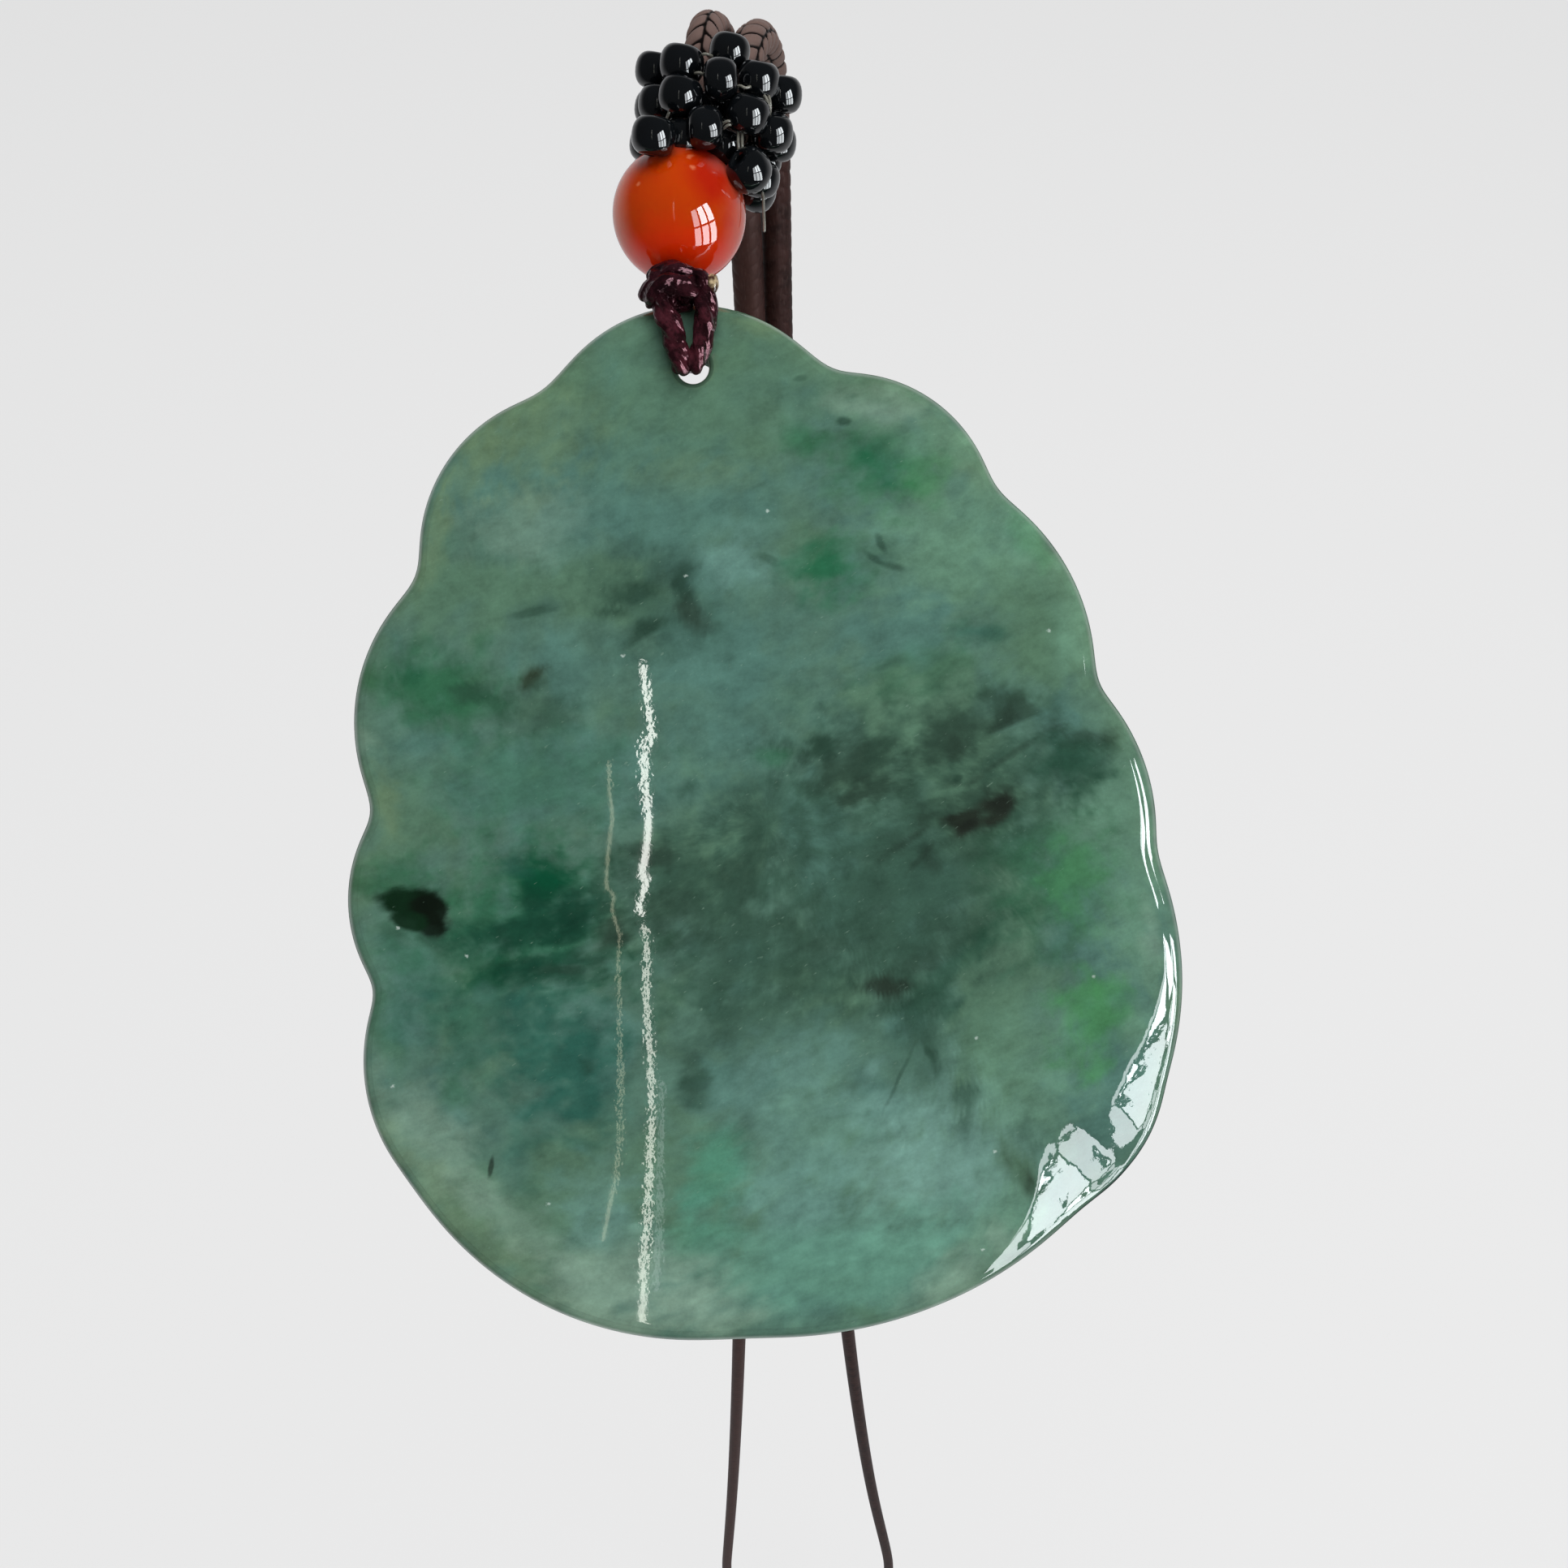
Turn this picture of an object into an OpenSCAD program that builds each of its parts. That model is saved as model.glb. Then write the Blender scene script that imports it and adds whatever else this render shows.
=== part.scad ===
// Jade pendant on a braided neck cord, in millimetres.
// The plate leans back with its face up, and the neck cord hangs straight down behind it.
// X runs across the plate, the origin is the middle of the plate's flat back.
// Everything but the neck cord is drawn upright, front towards -Y, and then leaned back.

/* [Jade plate] */
// Width of the jade plate across its widest lobes
plate_w = 50.1; // [44:0.1:58]
// Height of the jade plate
plate_h = 62; // [56:0.1:70]
// Thickness of the jade plate at its middle
plate_t = 5; // [4:0.1:6.5]
// How much lower the face is beside the rim than at the middle
face_crown = 0.3; // [0:0.05:0.6]
// Width of the rounded edge at the back
back_round = 1.5; // [0.8:0.1:2]
// Width of the rounded edge at the front
front_round = 1.7; // [0.8:0.1:2.4]
// Extra width of the front's rounding at the lower right, where the face rolls off
lower_right_roll = 2.2; // [0:0.1:4]
// Diameter of the hole for the thread
hole_d = 1.9; // [1.8:0.1:2.4]
// Distance of the hole to the left of the plate's middle
hole_left = 4.4; // [3.5:0.1:5.5]
// Distance of the hole below the plate's top
hole_drop = 4.05; // [3.8:0.05:5]
// Angle that the plate leans back by
lean = 50; // [40:1:60]

/* [Waxed thread] */
// Diameter of the thread's visible strands
thread_d = 1.2; // [0.8:0.1:1.2]
// Diameter of both strands squeezed together in the hole
thread_in_hole = 1.6; // [1:0.1:1.7]
// Diameter of the thread in the bead's bore
thread_core = 1; // [0.6:0.1:1]

/* [Agate bead] */
// Diameter of the agate bead
bead_d = 8; // [7.6:0.1:8.2]
// Diameter of the bead's bore
bead_bore = 1.4; // [1.2:0.1:2]
// Clear height between the plate's top and the bead
bead_gap = 1.5; // [1.4:0.05:1.6]

/* [Bead sleeve] */
// Outer diameter of the woven sleeve of seed beads
sleeve_d = 9.6; // [9:0.1:10.4]
// Diameter of the sleeve's inside
sleeve_bore = 5.6; // [5.6:0.1:5.8]
// Diameter of a column of seed beads
column_d = 2.3; // [2:0.1:2.5]
// Columns of seed beads round the sleeve
columns = 12; // [10:1:14]
// Length of one column
column_l = 7.2; // [6:0.1:8]
// How far every other column is moved up
column_step = 1; // [0.6:0.1:1.2]
// Angle that the sleeve tips to the right
sleeve_tip = 11; // [5:1:14]

/* [Neck cord] */
// Diameter of the braided neck cord
cord_d = 2.3; // [1.8:0.1:2.4]

/* [Hidden] */

jade_green = [0.33, 0.51, 0.42];
thread_plum = [0.22, 0.12, 0.12];
agate_orange = [0.82, 0.28, 0.09];
bead_black = [0.06, 0.07, 0.08];
cord_brown = [0.29, 0.23, 0.21];

gap = 0.15;                 // clearance between pieces that lie against each other
tube_sides = 8;             // sides of every swept thread and cord
outline_steps = 10;         // points along each lobe of the rim
rim_steps = 4;              // rings in each rounded edge
face_rings = [0.8, 0.55, 0.28]; // rings on the face, as shares of the way out to its rounded edge
soften_rounds = 1;          // rounds of softening on the outline's dips
cord_ring_gap = 15;         // longest stretch of cord between two rings

// Rim of the plate, anticlockwise from the right: each dip's x and z, and how far the lobe after it bulges
rim_w = 50.1;               // width and height that the table is drawn at
rim_h = 62;
rim_lobes = [
    // dip x, dip z, bulge
    [ 23.3,  -1.6, 1.20],
    [ 19.7,   8.5, 1.75],
    [ 13.6,  20.1, 2.35],
    [  3.6,  27.1, 4.75],
    [-13.2,  25.9, 2.70],
    [-20.8,  14.8, 2.55],
    [-23.5,   0.8, 1.75],
    [-23.4,  -9.9, 1.65],
    [-21.6, -21.2, 3.40],
    [ -1.5, -30.7, 2.35],
    [ 18.9, -23.1, 1.10],
    [ 24.0, -15.4, 1.25]];

top_rise = 0.1;             // the plate's top lobe stands this much higher than half its height
plate_top = plate_h / 2 + top_rise;
hole = [-hole_left, plate_top - hole_drop];
bead_r = bead_d / 2;
bead_at = [-5.3, -3, plate_top + bead_gap + bead_r];
sleeve_at = [-3.3, -2, 43.1];
column_ring = (sleeve_d - column_d) / 2;
strand_r = thread_d / 2;
front_y = -plate_t - strand_r - gap;   // centre line of a strand lying on the plate's face
back_y = strand_r + gap;               // and of one lying on its back
knot_y = front_y - 0.1;                // middle of the knot, in front of the rim
knot_z = plate_top + bead_gap / 2;
low_turn_d = 1.9;           // thickness of the knot's lower turn
high_turn_d = 1.4;          // and of the one above it
melted_end_d = 0.9;         // the thread's melted end, at the knot's right
bridge_d = 1;               // the stretch over the rim, under the bead
core_l = 9.2;               // length of the stretch up the bead's bore
roll_heading = 38;          // direction of the face's roll-off, below +X

// Route of the neck cord in its hanging place, from the sleeve's left mouth round the loop and back
cord_route = [
    [-4.9, 30.6,   28.6], [-4.3, 32.5,   30.2], [-4.0, 34.9,   31.9], [-3.7, 38.0,   31.9],
    [-3.1, 40.5,   29.8], [-2.5, 41.3,   26.5], [-2.1, 41.2,   22.5], [-1.7, 41.1,   16.0],
    [-1.4, 41.0,    4.0], [-1.8, 41.0,  -20.0], [-3.4, 41.0,  -80.0], [-5.4, 41.0, -150.0],
    [-7.6, 41.0, -220.0], [-10.4, 41.0, -290.0], [-13.0, 41.0, -340.0], [-14.0, 41.0, -363.0],
    [-6.0, 41.0, -380.0], [7.0, 41.0, -386.0], [20.0, 41.0, -380.0], [28.0, 41.0, -363.0],
    [26.8, 41.0, -340.0], [20.4, 41.0, -290.0], [14.0, 41.0, -220.0], [8.8, 41.2, -150.0],
    [4.4, 41.7,  -80.0], [1.5, 42.2,  -20.0], [0.7, 42.6,    4.0], [0.6, 42.8,   14.0],
    [0.5, 42.8,   20.0], [0.3, 42.7,   24.4], [0.0, 41.8,   28.1], [-0.6, 39.4,   30.6],
    [-1.2, 36.2,   31.4], [-1.8, 33.3,   30.4], [-2.1, 31.7,   29.1], [-2.5, 30.3,   27.8]];

function unit(v) = v / norm(v);
function mix(a, b, t) = a * (1 - t) + b * t;

// Point at share t of the arc from a to b that bulges out by h, to the right of the way from a to b
function arc_point(a, b, h, t) =
    let (c = norm(b - a), r = (c * c / 4 + h * h) / (2 * h), half = asin(c / 2 / r),
         along = (b - a) / c, out = [along[1], -along[0]], turn = half * (2 * t - 1))
    (a + b) / 2 + along * r * sin(turn) + out * (r * cos(turn) - (r - h));

// Rim outline: an arc for each lobe, its dips then softened by averaging neighbours
function lobe_points(lobes) = [
    for (i = [0 : len(lobes) - 1], k = [0 : outline_steps - 1])
        let (a = lobes[i], b = lobes[(i + 1) % len(lobes)])
        arc_point([a[0], a[1]], [b[0], b[1]], a[2], k / outline_steps)];
function soften(p, rounds) = rounds == 0 ? p : soften(
    let (n = len(p))
    [for (i = [0 : n - 1]) (p[(i + n - 1) % n] + 2 * p[i] + p[(i + 1) % n]) / 4], rounds - 1);
rim = [for (p = soften(lobe_points(rim_lobes), soften_rounds))
    [p[0] * plate_w / rim_w, p[1] * plate_h / rim_h]];

// Width of the front's rounded edge, wider towards the lower right
function front_width(p) =
    front_round + lower_right_roll * pow(max(0, cos(atan2(p[1], p[0]) + roll_heading)), 3);
function pulled_in(p, d) = p * (1 - d / norm(p));

// Rings of the plate from its back face round the edge to its front face
function ring(inset_back, inset_front, y) = [
    for (p = rim) let (q = pulled_in(p, inset_back + inset_front * front_width(p))) [q[0], y, q[1]]];
plate_mid = -plate_t / 2;
edge_y = -plate_t + face_crown;
plate_rings = concat(
    [for (k = [rim_steps : -1 : 0]) let (a = 90 * k / rim_steps)
        ring(back_round * (1 - cos(a)), 0, plate_mid * (1 - sin(a)))],
    [for (k = [1 : rim_steps]) let (a = 90 * k / rim_steps)
        ring(0, 1 - cos(a), mix(plate_mid, edge_y, sin(a)))],
    [for (s = face_rings)
        [for (p = rim) let (q = pulled_in(p, front_width(p)) * s)
            [q[0], edge_y - face_crown * (1 - s * s), q[1]]]]);

// A solid through rings of equal length, closed by a flat last ring at each end
module through_rings(rings) {
    n = len(rings[0]);
    last = len(rings) - 1;
    polyhedron(
        points = [for (r = rings, p = r) p],
        faces = concat(
            [[for (j = [0 : n - 1]) j]],
            [for (i = [0 : last - 1], j = [0 : n - 1])
                [i * n + j, (i + 1) * n + j, (i + 1) * n + (j + 1) % n, i * n + (j + 1) % n]],
            [[for (j = [n - 1 : -1 : 0]) last * n + j]]));
}

// Smooth curve that a route's points pull along, with a point at least every ring_gap
function curve_at(a, b, c, d, t) = (pow(1 - t, 3) * a + (3 * pow(t, 3) - 6 * t * t + 4) * b
    + (1 + 3 * t + 3 * t * t - 3 * pow(t, 3)) * c + pow(t, 3) * d) / 6;
function smooth_route(p, ring_gap) = let (n = len(p)) concat(
    [for (i = [0 : n - 2])
        let (a = i > 0 ? p[i - 1] : 2 * p[0] - p[1], b = p[i], c = p[i + 1],
             d = i < n - 2 ? p[i + 2] : 2 * c - b, steps = ceil(norm(c - b) / ring_gap))
        for (k = [0 : steps - 1]) curve_at(a, b, c, d, k / steps)],
    [p[n - 1]]);

// A round thread of diameter d along points p, its rings turned as little as possible from one to the next
function way(p, i) = unit(p[min(i + 1, len(p) - 1)] - p[max(i - 1, 0)]);
function square_to(v, t) = unit(v - (v * t) * t);
module thread(p, d) {
    through_rings([
        for (i = 0, t = way(p, 0), side = square_to([1, 0.2, 0.1], t);
             i < len(p);
             i = i + 1, t = i < len(p) ? way(p, i) : t, side = square_to(side, t))
            [for (j = [0 : tube_sides - 1])
                let (a = 360 * j / tube_sides)
                p[i] + d / 2 * (side * cos(a) + cross(t, side) * sin(a))]]);
}

module leaned() { rotate([-lean, 0, 0]) children(); }

// Polished plate with a lobed rim, a flat back and one small hole near its top
module jade_plate() {
    color(jade_green) leaned() difference() {
        through_rings(plate_rings);
        translate([hole[0], plate_t, hole[1]]) rotate([90, 0, 0])
            cylinder(d = hole_d, h = 3 * plate_t, $fn = 48);
    }
}

// Waxed thread: through the hole and up both faces to a knot over the rim, then up the bead's bore
module waxed_thread() {
    low = hole[1];
    color(thread_plum) leaned() union() {
        translate([hole[0], strand_r, low]) rotate([90, 0, 0])
            cylinder(d = thread_in_hole, h = plate_t + 2 * strand_r, $fn = 24);
        for (side = [-1, 1]) {
            thread([[hole[0] + side * 0.3, front_y + 0.1, low],
                    [hole[0] + side * 0.6, front_y, low + 1.1],
                    [-4.9 + side * 1.1, front_y, low + 2.4],
                    [-5.2 + side * 1.2, front_y, low + 4.6]], thread_d);
            thread([[hole[0] + side * 0.3, back_y - 0.1, low],
                    [hole[0] + side * 0.6, back_y, low + 1.1],
                    [-5 + side * 0.8, back_y, low + 2.6],
                    [-5.2 + side * 0.6, 0.4, plate_top - 0.1],
                    [-5.3, -0.6, knot_z]], thread_d);
        }
        // knot: two fat turns in front of the rim, and a stub of melted end at its right
        thread([[-7, front_y, knot_z - 0.4], [-6.3, knot_y, knot_z - 0.2], [-5.4, knot_y, knot_z - 0.2],
                [-4.5, front_y, knot_z - 0.2], [-3.8, front_y, knot_z - 0.4]], low_turn_d);
        thread([[-6.5, knot_y, knot_z + 0.3], [-5.5, knot_y, knot_z + 0.4],
                [-4.6, knot_y, knot_z + 0.3]], high_turn_d);
        thread([[-4.2, knot_y, knot_z - 0.3], [-3.2, knot_y - 0.2, knot_z - 0.4]], melted_end_d);
        // over the rim, under the bead
        thread([[-5.4, front_y, knot_z], [-5.3, -4.4, knot_z], [-5.3, -2, knot_z],
                [-5.3, -0.4, knot_z]], bridge_d);
        // up the bead's bore
        thread([[bead_at[0], bead_at[1], knot_z], [bead_at[0], bead_at[1], knot_z + core_l]], thread_core);
    }
}

// Round agate bead, bored from pole to pole
module agate_bead() {
    color(agate_orange) leaned() translate(bead_at) difference() {
        sphere(r = bead_r, $fn = 96);
        cylinder(d = bead_bore, h = 2 * bead_d, center = true, $fn = 32);
    }
}

// Woven sleeve round the cord's two ends, seated on the bead: a tube ringed by columns of seed beads
module bead_sleeve() {
    color(bead_black) leaned() difference() {
        translate(sleeve_at) rotate([0, sleeve_tip, 0]) difference() {
            union() {
                cylinder(r = column_ring, h = column_l - 2 * column_step, center = true, $fn = 48);
                for (c = [0 : columns - 1])
                    rotate([0, 0, 360 / columns * c])
                        translate([column_ring, 0, column_step * (c % 2 - 0.5)])
                            cylinder(d = column_d, h = column_l, center = true, $fn = 24);
            }
            cylinder(d = sleeve_bore, h = 2 * column_l, center = true, $fn = 48);
        }
        translate(bead_at) sphere(r = bead_r + gap, $fn = 96);
    }
}

// Braided neck cord: both ends in the sleeve, one whole loop hanging down behind the plate
module neck_cord() {
    color(cord_brown) thread(smooth_route(cord_route, cord_ring_gap), cord_d);
}

jade_plate();
waxed_thread();
agate_bead();
bead_sleeve();
neck_cord();
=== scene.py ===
import bisect
import math
import random

import bmesh
import bpy
import numpy as np
from mathutils import Matrix, Vector, noise


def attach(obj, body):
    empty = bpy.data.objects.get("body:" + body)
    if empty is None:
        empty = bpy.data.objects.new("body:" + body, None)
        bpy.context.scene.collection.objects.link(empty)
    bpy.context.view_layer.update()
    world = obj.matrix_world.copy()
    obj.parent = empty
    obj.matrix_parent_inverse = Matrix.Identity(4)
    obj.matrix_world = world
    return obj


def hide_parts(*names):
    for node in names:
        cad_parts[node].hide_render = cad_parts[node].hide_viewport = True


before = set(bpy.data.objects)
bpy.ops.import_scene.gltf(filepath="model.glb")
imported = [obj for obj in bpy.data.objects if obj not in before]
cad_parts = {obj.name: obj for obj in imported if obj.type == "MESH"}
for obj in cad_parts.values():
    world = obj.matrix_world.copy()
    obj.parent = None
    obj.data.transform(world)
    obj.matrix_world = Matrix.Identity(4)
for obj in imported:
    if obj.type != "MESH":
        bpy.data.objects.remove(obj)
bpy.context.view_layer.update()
print("frame:", sorted(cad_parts))

# without a seed, the noise that bends the stone's clouds would start from the clock
noise.seed_set(9)

# The pendant is drawn upright in millimetres, front towards -Y, then leaned back with its face up.
mm = 0.001
lean = math.radians(50)
leanBack = Matrix.Rotation(-lean, 4, "X")
uprightPlace = Matrix.Scale(mm, 4) @ leanBack
hangingPlace = Matrix.Scale(mm, 4)


def upright(x, y, z):
    return uprightPlace @ Vector((x, y, z))


def turned(degrees, axis):
    return Matrix.Rotation(math.radians(degrees), 4, axis)


# camera
view = {"at": (0.98, -97.17, 2.45), "lens": 36, "sensor": 36}

camera = bpy.data.objects.new("camera", bpy.data.cameras.new("camera"))
bpy.context.scene.collection.objects.link(camera)
camera.data.lens = view["lens"]
camera.data.sensor_width = view["sensor"]
camera.data.clip_start = 0.005
camera.data.clip_end = 30
camera.location = upright(*view["at"])
camera.rotation_euler = (math.radians(90) - lean, 0, 0)
bpy.context.scene.camera = camera


# materials: shader maths as Python sums
def srgb(red, green, blue):
    # a colour of 0 to 255, as light
    shares = (c / 255 for c in (red, green, blue))
    return tuple(((s + 0.055) / 1.055) ** 2.4 if s > 0.04045 else s / 12.92 for s in shares) + (1.0,)


def coloursOf(piece):
    return {name: srgb(*colour) for name, colour in piece["colours"].items()}


class Flow:
    # one output of a node: sums on it add the nodes that work them out
    def __init__(self, finish, socket):
        self.finish = finish
        self.socket = socket

    def sum(self, operation, a, b):
        if any(isinstance(v, Flow) and v.socket.type in ("VECTOR", "RGBA") for v in (a, b)):
            a, b = (v if isinstance(v, Flow) else (v, v, v) for v in (a, b))
            return self.finish.add("ShaderNodeVectorMath", {"operation": operation}, {0: a, 1: b})
        return self.finish.maths(operation, a, b)

    def __add__(self, other):
        return self.sum("ADD", self, other)

    def __radd__(self, other):
        return self.sum("ADD", other, self)

    def __sub__(self, other):
        return self.sum("SUBTRACT", self, other)

    def __rsub__(self, other):
        return self.sum("SUBTRACT", other, self)

    def __mul__(self, other):
        return self.sum("MULTIPLY", self, other)

    def __truediv__(self, other):
        return self.sum("DIVIDE", self, other)

    def __pow__(self, other):
        return self.sum("POWER", self, other)


class Finish:
    # the nodes of a material or of the world while they are made
    def __init__(self, owner, piece=None):
        self.owner = owner
        self.colours = coloursOf(piece) if piece else {}
        owner.use_nodes = True
        self.tree = owner.node_tree
        self.tree.nodes.clear()

    def add(self, kind, settings=None, sockets=None, output=0):
        made = self.tree.nodes.new(kind)
        for key, value in (settings or {}).items():
            setattr(made, key, value)
        for key, value in (sockets or {}).items():
            if isinstance(value, Flow):
                self.tree.links.new(value.socket, made.inputs[key])
            else:
                made.inputs[key].default_value = value
        return Flow(self, made.outputs[output]) if len(made.outputs) else made

    def maths(self, operation, *values):
        return self.add("ShaderNodeMath", {"operation": operation}, dict(enumerate(values)))

    def mix(self, a, b, share):
        # a and b are colours, or names of the piece's own
        a, b = (self.colours[v] if isinstance(v, str) else v for v in (a, b))
        return self.add("ShaderNodeMix", {"data_type": "RGBA"}, {0: share, 6: a, 7: b}, 2)

    def ramp(self, value, low, high, start=0.0, end=1.0):
        # a smooth step from start, at low, to end, at high
        return self.add("ShaderNodeMapRange", {"interpolation_type": "SMOOTHSTEP"},
                        {"Value": value, "From Min": low, "From Max": high, "To Min": start, "To Max": end})

    def cloud(self, place, scale, detail=3, rough=0.5, output="Fac"):
        sockets = {"Vector": place, "Scale": scale, "Detail": detail, "Roughness": rough}
        return self.add("ShaderNodeTexNoise", {}, sockets, output)

    def swing(self, place, scale, detail, rough=0.5, output="Fac"):
        # a cloud about zero
        return self.cloud(place, scale, detail, rough, output) - 0.5

    def drawing(self, turn=lean):
        # the upright drawing's coordinates in millimetres, or without a turn those of the hanging cord
        here = self.add("ShaderNodeTexCoord", {}, {}, "Object")
        sockets = {"Vector": here, "Rotation": (turn, 0, 0), "Scale": (1 / mm,) * 3}
        return self.add("ShaderNodeMapping", {}, sockets)

    def weave(self):
        # the map of a tube: how far round, and how far along in millimetres
        return self.add("ShaderNodeUVMap", {"uv_map": "weave"})

    def attribute(self, name, output):
        return self.add("ShaderNodeAttribute", {"attribute_name": name}, {}, output)

    def stretch(self, place, centre=(0, 0, 0), turn=(0, 0, 0), size=(1, 1, 1)):
        # coordinates about a centre, in its own turned and stretched units
        turn = tuple(map(math.radians, turn))
        sockets = {"Vector": place, "Location": centre, "Rotation": turn, "Scale": size}
        return self.add("ShaderNodeMapping", {"vector_type": "TEXTURE"}, sockets)

    def split(self, vector):
        # a vector's three numbers
        first = self.add("ShaderNodeSeparateXYZ", {}, {0: vector})
        return [Flow(self, socket) for socket in first.socket.node.outputs]

    def near(self, place, centre, turn, size, inner, outer, strength, fringe=None):
        # a soft spot: strength within inner half sizes of its centre, 0 beyond outer ones, which are below 3
        spot = self.stretch(place, centre, turn, tuple(3 * s for s in size))
        share = self.add("ShaderNodeTexGradient", {"gradient_type": "SPHERICAL"}, {"Vector": spot}, "Fac")
        if fringe is not None:
            share = share + fringe
        return self.ramp(share, 1 - outer / 3, 1 - inner / 3, 0, strength)

    def bump(self, height, distance, strength=1.0):
        return self.add("ShaderNodeBump", {}, {"Strength": strength, "Distance": distance, "Height": height})

    def surface(self, colour, rough, ior, more=None):
        sockets = {"Base Color": colour, "Roughness": rough, "IOR": ior, **(more or {})}
        return self.add("ShaderNodeBsdfPrincipled", {}, sockets)

    def close(self, shader, output="ShaderNodeOutputMaterial"):
        self.add(output, {}, {"Surface": shader})
        return self.owner


def finishNamed(name, piece=None):
    return Finish(bpy.data.materials.new(name), piece)


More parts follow.
